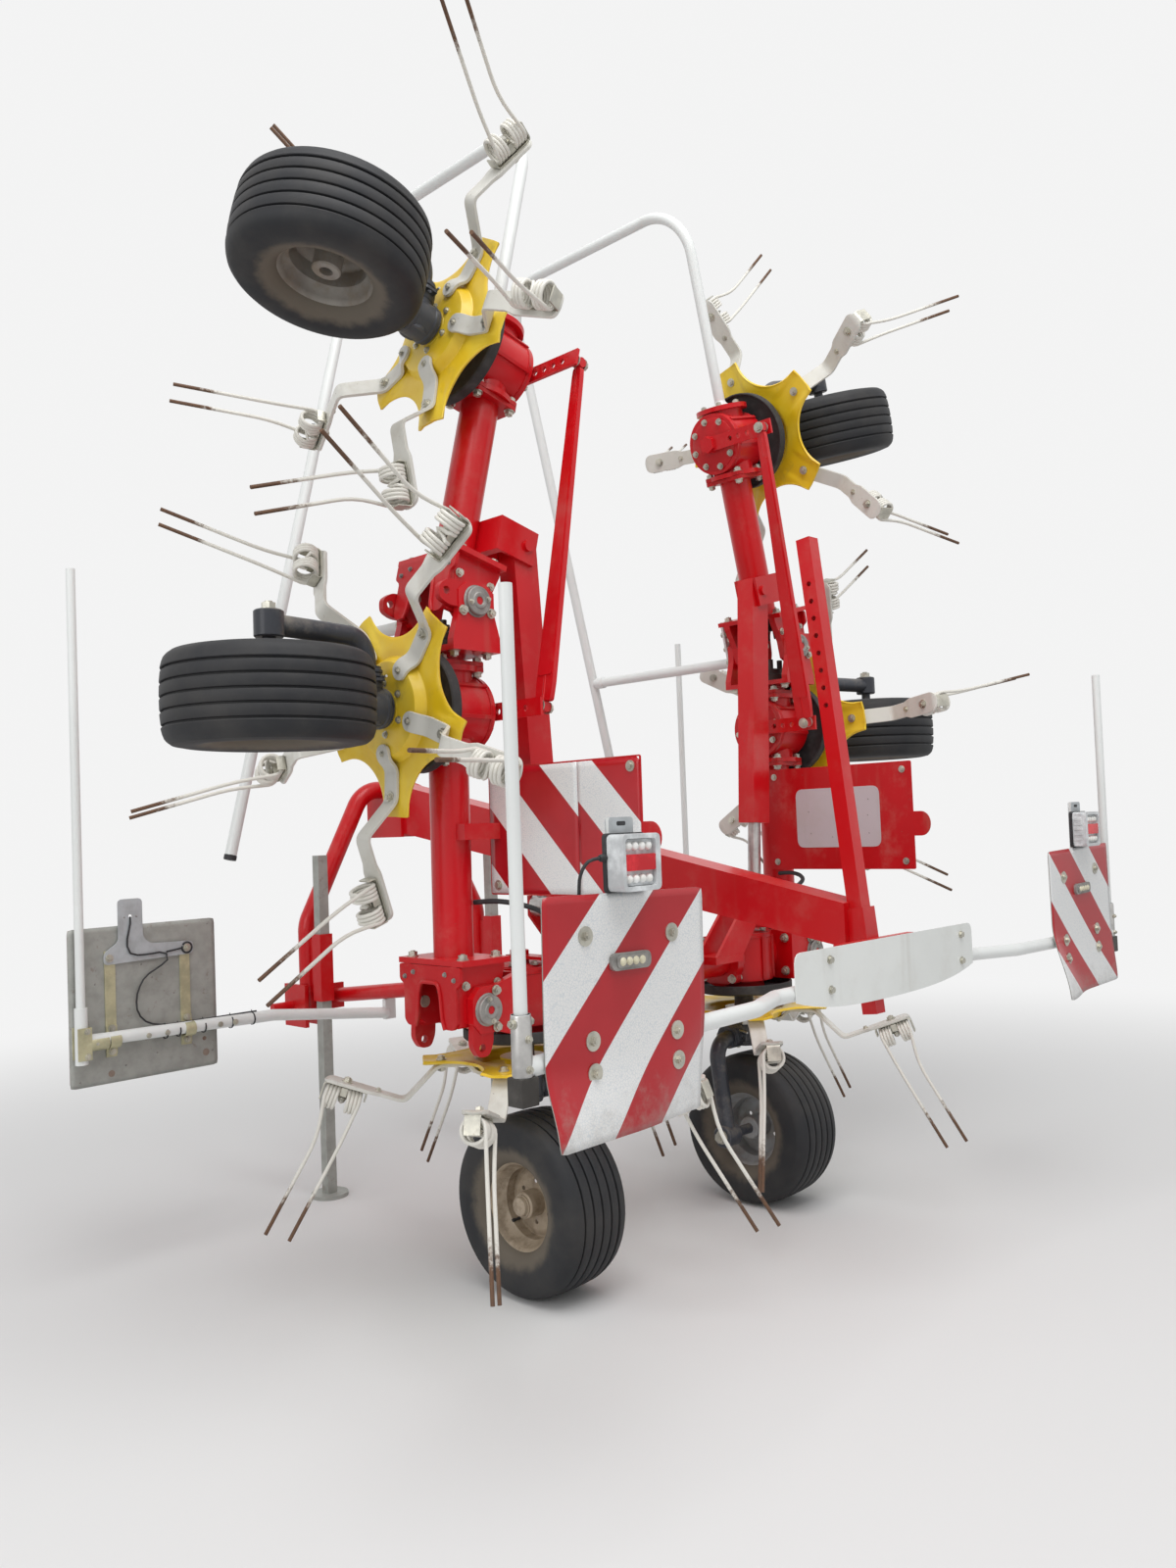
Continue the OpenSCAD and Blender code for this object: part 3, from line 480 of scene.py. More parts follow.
class Piece:
    """The faces of one piece, gathered in the millimetres of the frame that it is drawn in."""

    def __init__(self):
        self.points, self.faces, self.values, self.count = [], [], [], 0

    def add(self, shape, place=None, value=0.0):
        """Adds a shape, as it is or in a place; value is kept with its points."""
        verts, faces = shape
        self.points.append(np.array(verts, float) if place is None else carried(verts, place))
        self.faces += [tuple(i + self.count for i in f) for f in faces]
        self.values.append(np.broadcast_to(np.array(value, float), (len(verts),)))
        self.count += len(verts)
        return self

    def raw(self, name, attribute=None):
        """All the shapes as one mesh, in millimetres; attribute names the points' values."""
        made = bpy.data.meshes.new(name)
        made.from_pydata(np.concatenate(self.points).tolist(), [], self.faces)
        if attribute:
            note(made, attribute, np.concatenate(self.values))
        return made

    def build(self, name, body, material, place, attribute=None, **look):
        """Makes the piece, riding on a body of the assembly."""
        return show(settle(self.raw(name, attribute), place), name, body, material, **look)


def note(made, name, values):
    """Keeps one number a point on a mesh, for its material or its tree."""
    made.attributes.new(name, "FLOAT", "POINT").data.foreach_set("value", values)


def settle(made, place, weld=0.02):
    """Merges doubles, moves the mesh to its place in metres and turns its faces outwards."""
    b = bmesh.new()
    b.from_mesh(made)
    bmesh.ops.remove_doubles(b, verts=b.verts, dist=weld)
    b.transform(Matrix.Scale(MM, 4) @ place if place is not None else Matrix.Scale(MM, 4))
    bmesh.ops.recalc_face_normals(b, faces=b.faces)
    b.to_mesh(made)
    b.free()
    return made


def show(made, name, body, material, bevel=0.0, smooth=38, wall=0.0, replaces=()):
    """Makes a piece of a mesh: smooth up to an angle in degrees, with round edges and a wall if asked."""
    made.materials.clear()
    made.materials.append(material)
    made.polygons.foreach_set("use_smooth", [True] * len(made.polygons))
    made.set_sharp_from_angle(angle=math.radians(smooth))
    piece = bpy.data.objects.new(name, made)
    bpy.context.scene.collection.objects.link(piece)
    if wall:
        solid = piece.modifiers.new("wall", "SOLIDIFY")
        solid.thickness, solid.offset = wall * MM, 0
    if bevel:
        round_off = piece.modifiers.new("edges", "BEVEL")
        round_off.width, round_off.segments = bevel * MM, 2
        round_off.limit_method, round_off.angle_limit = "ANGLE", math.radians(40)
        round_off.harden_normals = True
    if body:
        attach(piece, body)
    if replaces:
        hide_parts(*replaces)
    return piece


# Geometry node trees
class Tree:
    """A geometry node tree with named inputs."""

    def __init__(self, name, inputs):
        self.tree = bpy.data.node_groups.new(name, "GeometryNodeTree")
        face = self.tree.interface
        face.new_socket("Geometry", in_out="INPUT", socket_type="NodeSocketGeometry")
        for key, kind, value in inputs:
            socket = face.new_socket(key, in_out="INPUT", socket_type="NodeSocket" + kind)
            if value is not None:
                socket.default_value = value
        face.new_socket("Geometry", in_out="OUTPUT", socket_type="NodeSocketGeometry")
        self.given = self.tree.nodes.new("NodeGroupInput").outputs
        self.end = self.tree.nodes.new("NodeGroupOutput").inputs[0]

    def node(self, kind, settings=None, values=None):
        """Adds a node, sets it and feeds it."""
        made = self.tree.nodes.new(kind)
        for key, value in (settings or {}).items():
            setattr(made, key, value)
        for key, value in (values or {}).items():
            if isinstance(value, bpy.types.NodeSocket):
                self.tree.links.new(value, made.inputs[key])
            else:
                made.inputs[key].default_value = value
        return made

    def math(self, operation, *values):
        return self.node("ShaderNodeMath", {"operation": operation}, dict(enumerate(values))).outputs[0]

    def go_round(self, shape):
        """Repeats a shape round the Z axis, Count times from First angle, and ends the tree."""
        line = self.node("GeometryNodeMeshLine", None, {"Count": self.given["Count"], "Offset": (0, 0, 0)})
        share = self.math("DIVIDE", 2 * math.pi, self.given["Count"])
        index = self.node("GeometryNodeInputIndex").outputs[0]
        angle = self.math("MULTIPLY_ADD", index, share, self.given["First angle"])
        turn_by = self.node("ShaderNodeCombineXYZ", None, {"Z": angle})
        spread = self.node("GeometryNodeInstanceOnPoints", None, {
            "Points": line.outputs[0], "Instance": shape, "Rotation": turn_by.outputs[0]})
        self.close(spread.outputs[0])

    def close(self, shape):
        """Ends the tree: real instances, and the material on them."""
        real = self.node("GeometryNodeRealizeInstances", None, {0: shape})
        done = self.node("GeometryNodeSetMaterial", None,
                         {"Geometry": real.outputs[0], "Material": self.given["Material"]})
        self.tree.links.new(done.outputs[0], self.end)


def grown(made, tree, values, material):
    """Runs a tree on a mesh and returns the plain mesh that comes out."""
    carrier = bpy.data.objects.new(made.name, made)
    bpy.context.scene.collection.objects.link(carrier)
    modifier = carrier.modifiers.new("tree", "NODES")
    modifier.node_group = tree.tree
    sockets = {s.name: s.identifier for s in tree.tree.interface.items_tree
               if getattr(s, "in_out", "") == "INPUT"}
    for key, value in {**values, "Material": material}.items():
        modifier[sockets[key]] = value
    bpy.context.view_layer.update()
    seen = carrier.evaluated_get(bpy.context.evaluated_depsgraph_get())
    out = bpy.data.meshes.new_from_object(seen, preserve_all_data_layers=True,
                                          depsgraph=bpy.context.evaluated_depsgraph_get())
    carrier.modifiers.remove(modifier)
    bpy.data.objects.remove(carrier)
    return out


ROUND_INPUTS = [("Count", "Int", 5), ("First angle", "Float", 0.0), ("Material", "Material", None)]


def turned_tree():
    """Repeats what it is given round the Z axis."""
    t = Tree("turned about the axis", ROUND_INPUTS)
    t.go_round(t.given["Geometry"])
    return t


def wire_tree():
    """Draws a round wire along the path that it is given, then repeats it round the Z axis."""
    t = Tree("wire round the axis", [("Wire diameter", "Float", 9.5), ("Sides", "Int", 10)] + ROUND_INPUTS)
    path = t.node("GeometryNodeMeshToCurve", None, {0: t.given["Geometry"]})
    ring = t.node("GeometryNodeCurvePrimitiveCircle", None,
                  {"Resolution": t.given["Sides"], "Radius": t.math("DIVIDE", t.given["Wire diameter"], 2.0)})
    wire = t.node("GeometryNodeCurveToMesh", None,
                  {"Curve": path.outputs[0], "Profile Curve": ring.outputs[0], "Fill Caps": True})
    t.go_round(wire.outputs[0])
    return t


def bolt_tree():
    """Puts a hexagon head on a washer at each point, facing the way that the point says."""
    t = Tree("bolt heads", [("Head width", "Float", 19.0), ("Head height", "Float", 9.0),
                            ("Washer width", "Float", 28.0), ("Washer height", "Float", 2.5),
                            ("Stud length", "Float", 14.0), ("Seed", "Int", 3),
                            ("Material", "Material", None)])

    def disc(sides, radius, height, lift):
        shape = t.node("GeometryNodeMeshCylinder", None,
                       {"Vertices": sides, "Radius": radius, "Depth": height})
        up = t.node("ShaderNodeCombineXYZ", None, {"Z": lift})
        return t.node("GeometryNodeTransform", None,
                      {"Geometry": shape.outputs[0], "Translation": up.outputs[0]})

    head_lift = t.math("MULTIPLY_ADD", t.given["Head height"], 0.5, t.given["Washer height"])
    head = disc(6, t.math("MULTIPLY", t.given["Head width"], 0.577), t.given["Head height"], head_lift)
    stud = disc(12, t.math("MULTIPLY", t.given["Head width"], 0.3), t.given["Stud length"],
                t.math("MULTIPLY", t.given["Stud length"], 0.5))
    washer = disc(20, t.math("MULTIPLY", t.given["Washer width"], 0.5), t.given["Washer height"],
                  t.math("MULTIPLY", t.given["Washer height"], 0.5))
    bolt = t.node("GeometryNodeJoinGeometry")
    for part in (head, stud, washer):
        t.tree.links.new(part.outputs[0], bolt.inputs[0])
    way = t.node("GeometryNodeInputNamedAttribute", {"data_type": "FLOAT_VECTOR"}, {"Name": "way"})
    size = t.node("GeometryNodeInputNamedAttribute", {"data_type": "FLOAT"}, {"Name": "size"})
    facing = t.node("FunctionNodeAlignRotationToVector", {"axis": "Z"}, {"Vector": way.outputs[0]})
    chance = t.node("FunctionNodeRandomValue", {"data_type": "FLOAT"}, {"Seed": t.given["Seed"]})
    for key, value in (("Min", 0.0), ("Max", 1.05)):
        [s for s in chance.inputs if s.name == key and s.type == "VALUE"][0].default_value = value
    any_angle = [s for s in chance.outputs if s.type == "VALUE" and s.enabled][0]
    spun = t.node("FunctionNodeAxisAngleToRotation", None, {"Axis": (0, 0, 1), "Angle": any_angle})
    set_so = t.node("FunctionNodeRotateRotation", {"rotation_space": "LOCAL"},
                    {0: facing.outputs[0], 1: spun.outputs[0]})
    spread = t.node("GeometryNodeInstanceOnPoints", None, {
        "Points": t.given["Geometry"], "Instance": bolt.outputs[0], "Rotation": set_so.outputs[0],
        "Scale": size.outputs[0]})
    t.close(spread.outputs[0])
    return t


TURNED = turned_tree()
WIRED = wire_tree()
BOLTED = bolt_tree()


def bolts(name, body, places, frame_at, material=ZINC, **sizes):
    """Bolt heads on one body; places lists (point, way, size) in the millimetres of frame_at."""
    made = bpy.data.meshes.new(name)
    made.from_pydata([tuple(point) for point, _, _ in places], [], [])
    ways = made.attributes.new("way", "FLOAT_VECTOR", "POINT")
    ways.data.foreach_set("vector", [c for _, way, _ in places for c in way])
    note(made, "size", [size for _, _, size in places])
    named = {key.replace("_", " ").capitalize(): value for key, value in sizes.items()}
    out = grown(made, BOLTED, named, material)
    return show(settle(out, frame_at, 0.001), name, body, material, smooth=30)


def ring(count, r, z, way, size, first=0.0):
    """Bolt places on a circle about the Z axis."""
    return [((r * math.cos(t), r * math.sin(t), z), way, size)
            for t in np.arange(count) * 2 * math.pi / count + first]


# Sizes of the rotors, in millimetres about a rotor's axis at the height of the drive shaft
ARMS = 5
LOBE = 360 / ARMS                                        # degrees from one arm to the next
PHASE = {"left": (37, 33, -31), "right": (10, -12, 14)}  # degrees, for the places from the middle outwards
LEAN = (-1, 1, -1)                                       # the side to which the tines trail
STAR_Z, DRUM_Z = -160, -186                              # the star's lobes and the foot of its drum
STAR_TIP = 259                                           # from the axis to a lobe's straight tip
NOTCH_AT, NOTCH_R = 312.7, 138.0                         # the round notch between two lobes
COIL_RING, COIL_DROP, COIL_TILT = 495, 228, 20           # where the spring coils sit, and their tilt
COIL_R, COIL_GAP, WIRE_D = 28.25, 60, 9.5                # a coil, the gap to its twin, and the wire
TINE_RING, TINE_DROP = 657, 542                          # where the tines end
TYRE_R, TYRE_W, RIM_R = 228.5, 205, 108                  # the tyre, and the rim's well
HUB_BACK, HUB_DROP = 45, 524.5                           # the axle, behind and below
LEG_OUT, LEG_Z = 62, -241                                # the leg beside the tyre, and its collar
HOUSING_OUT = 112                                        # where the flanges to the beams meet
FLANGE, FLANGE_BOLT = 140, 55                            # a square flange, and its bolts off the middle


class Place:
    """Where a rotor is: X points outwards along the wing, Y ahead, Z up the rotor's axis."""

    def __init__(self, side, place):
        spin, roll = joints[f"{side}_{place}_spin"], joints[f"{side}_{place}_roll"]
        up, out = Vector(spin["axis"]), Vector(roll["axis"])
        zero = Vector(spin["pos_m"]) / MM - up * STAR_Z
        self.side, self.place = side, place
        self.at = Matrix.Translation(zero) @ Matrix((out, Vector((0, 1, 0)), up)).transposed().to_4x4()
        self.name = f"{side}_{place}"
        self.body = "frame" if place == "centre" else self.name
        self.spins = f"{self.name}_rotor"
        self.phase = PHASE[side][PLACES.index(place)]
        self.axle = self.at.inverted() @ (Vector(roll["pos_m"]) / MM)


rotors = [Place(side, place) for side in SIDES for place in PLACES]
frames = {r.name: r for r in rotors}


def smooth(value, low, high):
    """Rises from 0 at low to 1 at high without a kink."""
    t = np.clip((np.asarray(value, float) - low) / (high - low), 0, 1)
    return t * t * (3 - 2 * t)


def by_coil(x, z, y=0.0):
    """A point given about the outer coil of the arm that lies along X."""
    c, s = math.cos(math.radians(COIL_TILT)), math.sin(math.radians(COIL_TILT))
    return COIL_RING + x * c - z * s, y, -COIL_DROP + x * s + z * c


COIL_PLACE = at(COIL_RING, 0, -COIL_DROP, -COIL_TILT, "Y")
COIL_UP = (-math.sin(math.radians(COIL_TILT)), 0, math.cos(math.radians(COIL_TILT)))
COIL_DOWN = tuple(-c for c in COIL_UP)


def star_edge(a):
    """How far a star reaches at a degrees from the middle of a lobe: its straight tip or the notch."""
    from_notch = math.radians(LOBE / 2 - a)
    straight = STAR_TIP / math.cos(math.radians(a))
    inside = NOTCH_R ** 2 - (NOTCH_AT * math.sin(from_notch)) ** 2
    return min(straight, NOTCH_AT * math.cos(from_notch) - math.sqrt(inside)) if inside > 0 else straight


def star_sheet():
    """The pressed sheet of a star: a drum that hangs down in the middle and five lobes with straight tips."""
    low, high = 2.0, 35.0
    for _ in range(40):
        corner = (low + high) / 2
        on_tip = star_edge(corner) * math.cos(math.radians(corner)) > STAR_TIP - 0.01
        low, high = (corner, high) if on_tip else (low, corner)
    half = np.concatenate([np.linspace(0, corner, 6), np.linspace(corner, LOBE / 2, 14)[1:]])
    angles = np.concatenate([half, LOBE - half[-2:0:-1]])
    rings = [47, 80, 106, 112, 116, 120, 124, 128, 133]
    verts = []
    for k in range(ARMS):
        for a in angles:
            away = min(a, LOBE - a)
            rim = star_edge(away)
            t = math.radians(a + LOBE * k)
            for r in rings + list(np.linspace(rings[-1], rim - 5, 11)[1:]) + [rim]:
                off = r * math.sin(math.radians(away))
                z = DRUM_Z + (STAR_Z - DRUM_Z) * smooth(r, 110, 128)
                z += 5 * smooth(off, 27, 44) * smooth(r, 140, 180)
                z += 2.5 * smooth(r, rim - 7, rim) * smooth(off, 20, 30)
                verts.append((r * math.cos(t), r * math.sin(t), z))
    n = len(rings) + 11
    m = len(angles) * ARMS
    faces = [(i * n + j, (i + 1) % m * n + j, (i + 1) % m * n + j + 1, i * n + j + 1)
             for i in range(m) for j in range(n - 1)]
    return np.array(verts), faces


def resample(points, step):
    """The same path with points about step apart, and each point's distance along it."""
    p = np.array(points, float)
    s = np.concatenate([[0], np.cumsum(np.linalg.norm(np.diff(p, axis=0), axis=1))])
    t = np.linspace(0, s[-1], max(2, round(s[-1] / step)))
    return np.stack([np.interp(t, s, p[:, k]) for k in range(p.shape[1])], axis=1), t


def strap(path, half, thick):
    """A flat bar along a path in the XZ plane; half is its half width at every point."""
    p = np.array(path, float)
    way = np.gradient(p, axis=0)
    way /= np.linalg.norm(way, axis=1)[:, None]
    up = np.stack([-way[:, 1], way[:, 0]], axis=1) * thick / 2
    verts = []
    for c, u, h in zip(p, up, half):
        verts += [(c[0] + u[0], -h, c[1] + u[1]), (c[0] + u[0], h, c[1] + u[1]),
                  (c[0] - u[0], h, c[1] - u[1]), (c[0] - u[0], -h, c[1] - u[1])]
    n = len(p)
    faces = [(i * 4 + k, i * 4 + (k + 1) % 4, (i + 1) * 4 + (k + 1) % 4, (i + 1) * 4 + k)
             for i in range(n - 1) for k in range(4)]
    return np.array(verts), faces + [(0, 1, 2, 3), (n * 4 - 1, n * 4 - 2, n * 4 - 3, n * 4 - 4)]


def flat_arm():
    """The flat bar from the star to the coils: two bends, a wider end and round corners."""
    corners = [(85, -194.5), (120, -194.5), (143, -168.5), (221, -168.5), by_coil(-184, 40)[::2],
               by_coil(14, 40)[::2], by_coil(25, 33)[::2]]
    path, s = resample(route(corners, 16, 7), 4)
    total = s[-1]
    half = np.minimum(24 + 8 * smooth(s, total - 150, total - 118), 40)
    for r, d in ((24, s), (26, total - s)):
        end = np.sqrt(np.maximum(r * r - (r - np.minimum(d, r)) ** 2, 9)) * half / r
        half = np.minimum(half, np.where(d < r, end, half))
    return strap(path, half, 9)


def tine_path(lean):
    """One wire: a leg, a coil, the loop round the clamp bolt, the other coil and its leg."""
    turns = 3.5
    first_x = 1.5 * WIRE_D
    reach, drop = TINE_RING - COIL_RING, TINE_DROP - COIL_DROP
    phi = np.linspace(0, turns * 2 * math.pi, int(18 * turns) + 1)
    coil = np.stack([first_x - WIRE_D * phi / (2 * math.pi), lean * COIL_R * np.cos(phi),
                     COIL_R * np.sin(phi)], axis=1)

    def leg(k):
        mid = by_coil(-k * COIL_GAP, 0)
        start = by_coil(-COIL_GAP - first_x if k else first_x, 0, lean * COIL_R)
        bend = (mid[0] + reach * 0.2, lean * 33, mid[2] - drop * 0.3)
        tip = (mid[0] + reach, lean * 70, mid[2] - drop)
        return resample(route([start, bend, tip], 60, 8), 24)[0]

    def by_coils(points):
        return np.array([by_coil(x, z, y) for x, y, z in points])

    x, y, z = coil[-1]
    loop = [(x - 5, y + lean * 9, z - 3), (x - 7, y + lean * 30, z - 5),
            (-COIL_GAP / 2, y + lean * 40, z - 6),
            (-COIL_GAP - x + 7, y + lean * 30, z - 5), (-COIL_GAP - x + 5, y + lean * 9, z - 3)]
    other = [(-COIL_GAP - u, v, w) for u, v, w in coil[::-1]]
    legs = leg(0)[::-1], leg(1)
    middle = by_coils([*coil[1:], *loop, *other[:-1]])
    along = np.concatenate([np.linspace(1, 0, len(legs[0])), np.zeros(len(middle)),
                            np.linspace(0, 1, len(legs[1]))])
    return np.concatenate([legs[0], middle, legs[1]]), along


def all_round(made, name, rotor, material, **look):
    """Repeats an arm's piece round a rotor and puts it in its place."""
    out = grown(made, TURNED, {"Count": ARMS, "First angle": math.radians(rotor.phase)}, material)
    return show(settle(out, rotor.at, 0.01), name, rotor.spins, material, **look)


def round_arms(rotor, places):
    """Bolt places of one arm, repeated for every arm of a rotor."""
    out = []
    for k in range(ARMS):
        m = Matrix.Rotation(math.radians(rotor.phase + LOBE * k), 3, "Z")
        out += [(m @ Vector(p), m @ Vector(w), size) for p, w, size in places]
    return out


ARM_BOLTS = [((108, 0, -199), (0, 0, -1), 0.6), ((212, 0, -173), (0, 0, -1), 1.0),
             ((212, 0, -156), (0, 0, 1), 0.9), (by_coil(-30, 44.5), COIL_UP, 0.95),
             (by_coil(-30, 4), COIL_DOWN, 0.85), (by_coil(-112, 44.5), COIL_UP, 0.6)]


def build_rotor(rotor):
    """A star with its hub, arms, holders, spring tines and bolts."""
    name = rotor.name
    turned = rotor.at @ at(turn=rotor.phase)
    Piece().add(star_sheet()).build(f"{name}_star_sheet", rotor.spins, YELLOW, turned, wall=7, bevel=1.0,
                                    smooth=50, replaces=[f"{name}_star"])
    hub = lathe([(30.5, -190), (46, -190), (49, -187), (49, -166), (60, -163), (60, -158), (30.5, -158)],
                40, True)
    Piece().add(hub).build(f"{name}_star_hub", rotor.spins, YELLOW, rotor.at)
    arm = Piece().add(flat_arm()).raw(f"{name}_arms")
    all_round(arm, f"{name}_arms", rotor, CREAM, bevel=1.6, replaces=[f"{name}_tines"])
    holder = Piece()
    plate_path, s = resample(route([(-86, 10), (-86, 34), (24, 34), (24, -12)], 9, 5), 4)
    half = np.full(len(s), 19.0)
    holder.add(strap(plate_path, half, 4), COIL_PLACE)
    holder.add(cuboid((-39, -15, 8), (-21, 15, 30)), COIL_PLACE)
    all_round(holder.raw(f"{name}_holders"), f"{name}_holders", rotor, ZINC, bevel=0.8)
    points, along = tine_path(LEAN[PLACES.index(rotor.place)])
    path = bpy.data.meshes.new(f"{name}_wires")
    path.from_pydata(points.tolist(), [(i, i + 1) for i in range(len(points) - 1)], [])
    note(path, "along", along)
    wires = grown(path, WIRED, {"Count": ARMS, "First angle": math.radians(rotor.phase),
                                "Wire diameter": WIRE_D, "Sides": 10}, WIRE)
    show(settle(wires, rotor.at, 0.01), f"{name}_spring_tines", rotor.spins, WIRE, smooth=60)
    spots = round_arms(rotor, ARM_BOLTS) + ring(6, 62, -190, (0, 0, -1), 0.6)
    bolts(f"{name}_rotor_bolts", rotor.spins, spots, rotor.at, head_width=19.0, head_height=8.0,
          washer_width=30.0, stud_length=13.0)


# Wheels
def tyre_profile():
    """Radius and height of the tyre's skin, with five grooves in its tread."""
    grooves = (-60, -30, 0, 30, 60)
    crown = [(RIM_R + 1, 70), (RIM_R + 5, 80), (RIM_R + 12, 86), (RIM_R + 16, 89), (RIM_R + 22, 92.5),
             (RIM_R + 40, 99), (RIM_R + 62, 102.5), (RIM_R + 80, 102), (RIM_R + 92, 99.5), (RIM_R + 98, 98.5),
             (TYRE_R - 14, 92), (TYRE_R - 9, 86), (TYRE_R - 5.5, 77)]
    tread = []
    for z in sorted(grooves, reverse=True):
        r = TYRE_R - 4.5 * (abs(z) / 78) ** 2.2
        tread += [(r, z + 5), (r - 1, z + 3), (r - 7, z + 2), (r - 7, z - 2), (r - 1, z - 3), (r, z - 5)]
    far_side = [(r, -z) for r, z in reversed(crown)]
    return crown + tread + far_side + [(RIM_R + 8, -60), (RIM_R + 8, 60)]


def build_wheel(rotor):
    """A grooved tyre on its pressed rim, with the disc, the hub and the valve."""
    name, body = rotor.name, f"{rotor.name}_wheel"
    place = rotor.at @ Matrix.Translation(rotor.axle) @ at(turn=90, axis="Y")
    skin = lathe(tyre_profile(), 84, True)
    away = np.hypot(skin[0][:, 0], skin[0][:, 1])
    Piece().add(skin, value=np.clip((192 - away) / 70, 0, 1)).build(
        f"{name}_tyre_skin", body, TYRE, place, "side", smooth=35, replaces=[f"{name}_tyre"])
    rim = Piece()
    well = [(3, -74), (9, -74), (10, -70), (6, -66), (0, -62), (-5, -44), (-14, -34), (-14, 30), (-5, 42),
            (0, 62), (6, 66), (10, 70), (9, 74), (3, 74), (-3, 68), (-5, 60), (-10, 43), (-18, 34),
            (-18, -36), (-10, -46), (-5, -60), (-3, -68)]
    rim.add(lathe([(RIM_R + r, z) for r, z in well], 72, True))
    rim.add(lathe([(RIM_R - 16, 3), (84, 3), (76, 9), (70, 10), (70, 14), (77, 13), (86, 7), (RIM_R - 16, 7)],
                  72, True))
    holes = [circle(x, y, 6, 14) for (x, y, _), _, _ in ring(6, 52, 0, None, 1)]
    rim.add(plate([circle(0, 0, 71, 72)] + holes, 10, 14))
    rim.add(lathe([(15.5, -60), (31, -60), (34, -57), (34, 57), (31, 60), (15.5, 60)], 40, True))
    rim.add(lathe([(0.5, 76), (18, 76), (23, 73), (25, 66), (25, 60), (0.5, 60)], 36, True))
    rim.add(lathe([(25, 60), (28, 60), (28, 64), (25, 64)], 36, True))
    rim.build(f"{name}_rim_pressing", body, RIMS.get(name, RIM_OTHER), place, smooth=32, bevel=0.6,
              replaces=[f"{name}_rim"])
    valve = Piece().add(tube([(88, 0, 12), (88, 0, 30)], [4, 3], 10))
    valve.add(tube([(88, 0, 28), (88, 0, 36)], 4.5, 10))
    valve.build(f"{name}_valve", body, BLACK, place @ at(turn=50))


# Legs with their knuckles
def build_leg(rotor):
    """The dark boss and collar under a star, the knuckle at the axle, bolts and the spring pin."""
    way = -1 if rotor.place == "centre" else 1
    side_x = way * (TYRE_W / 2 + LEG_OUT)
    boss = Piece()
    boss.add(lathe([(30, -276), (44, -276), (50, -271), (50, -262), (48.5, -260), (48.5, -214), (50.5, -212),
                    (50.5, -206), (48, -203), (48, -197), (30, -197)], 48, True))
    along = at(0, 0, LEG_Z, 90 * way, "Y")
    rings = [(24.5, 44), (36, 44)]
    for z in range(50, 94, 11):
        rings += [(38.5, z), (38.5, z + 6), (35, z + 7.5)]
    boss.add(lathe(rings + [(35, 97), (24.5, 97)], 40, True), along)
    lug = [(-18, -52), (18, -52), (18, -30), (-18, -30)]
    boss.add(plate([rounded(lug, 6), circle(0, -43, 6, 14)], 60, 66), along)
    boss.add(lathe([(14, -30), (30, -30), (33, -27), (33, 27), (30, 30), (14, 30)], 36, True),
             at(side_x, -HUB_BACK, -HUB_DROP, 90, "Y"))
    boss.build(f"{rotor.name}_knuckle", rotor.body, DARK, rotor.at, bevel=0.8, smooth=35)
    spots = [((side_x + way * 29, -HUB_BACK, -HUB_DROP), (way, 0, 0), 1.5)]
    spots += ring(4, 38, -276, (0, 0, -1), 0.6)
    spots += [((way * x, 35, LEG_Z), (0, 1, 0), 0.7) for x in (60, 84)]
    bolts(f"{rotor.name}_leg_bolts", rotor.body, spots, rotor.at)
    pin = route([(way * 70, y, z) for y, z in ((-62, -228), (-30, -222), (30, -222), (44, -236))], 14)
    Piece().add(tube(pin, 3, 10)).build(f"{rotor.name}_spring_pin", rotor.body, BRIGHT, rotor.at, smooth=60)


# Gear housings with flanges and crop shields
def build_housing(rotor):
    """A housing's flanges, lid and ribs with their bolts, and the crop shield under it."""
    shield = Piece().add(lathe([(70, -106), (150, -106), (153.5, -102), (153.5, -78), (150, -76), (147, -78),
                                (147, -98), (70, -98)], 64, True))
    shield.build(f"{rotor.name}_crop_shield", rotor.body, SHIELD, rotor.at, smooth=35, bevel=0.8)
    cast = Piece()
    spots = []
    for way in ((-1, 1) if rotor.place == "inner" else (-1,)):
        for low, high in ((-13, -0.5), (0.5, 12)):
            flange = plate([oblong(FLANGE, FLANGE, 14)], low, high)
            cast.add(flange, at(way * HOUSING_OUT, 0, 0, 90 * way, "Y"))
        for y in (-FLANGE_BOLT, FLANGE_BOLT):
            for z in (-FLANGE_BOLT, FLANGE_BOLT):
                spots.append(((way * (HOUSING_OUT + 12), y, z), (way, 0, 0), 1.0))
                spots.append(((way * (HOUSING_OUT - 13), y, z), (-way, 0, 0), 1.0))
    lid = [(20, 84), (70, 84), (82, 80), (84, 74), (96, 70), (98, 62), (94, 60), (20, 60)]
    cast.add(lathe(lid, 56, True))
    for k in range(5):
        cast.add(cuboid((94, -5, -66), (101, 5, 66)), at(turn=-100 + 50 * k))
    cast.build(f"{rotor.name}_housing_cast", rotor.body, CAST, rotor.at, bevel=2.0, smooth=35)
    if rotor.place == "outer":
        spots += [((HOUSING_OUT, y, z), (1, 0, 0), 0.9) for (y, z, _), _, _ in ring(6, 60, 0, None, 1)]
    spots += ring(8, 74, 83, (0, 0, 1), 0.75, 0.2)
    bolts(f"{rotor.name}_housing_bolts", rotor.body, spots, rotor.at)


# Fold castings
# For each place the next section, and where the fold axis lies along X of this section and of the next
FOLDS = {"centre": ("inner", 220, -730), "inner": ("outer", 262, -688)}
CASTING_BOLT_Y, CASTING_BOLT_Z = (-98, 98), (-52, 52)


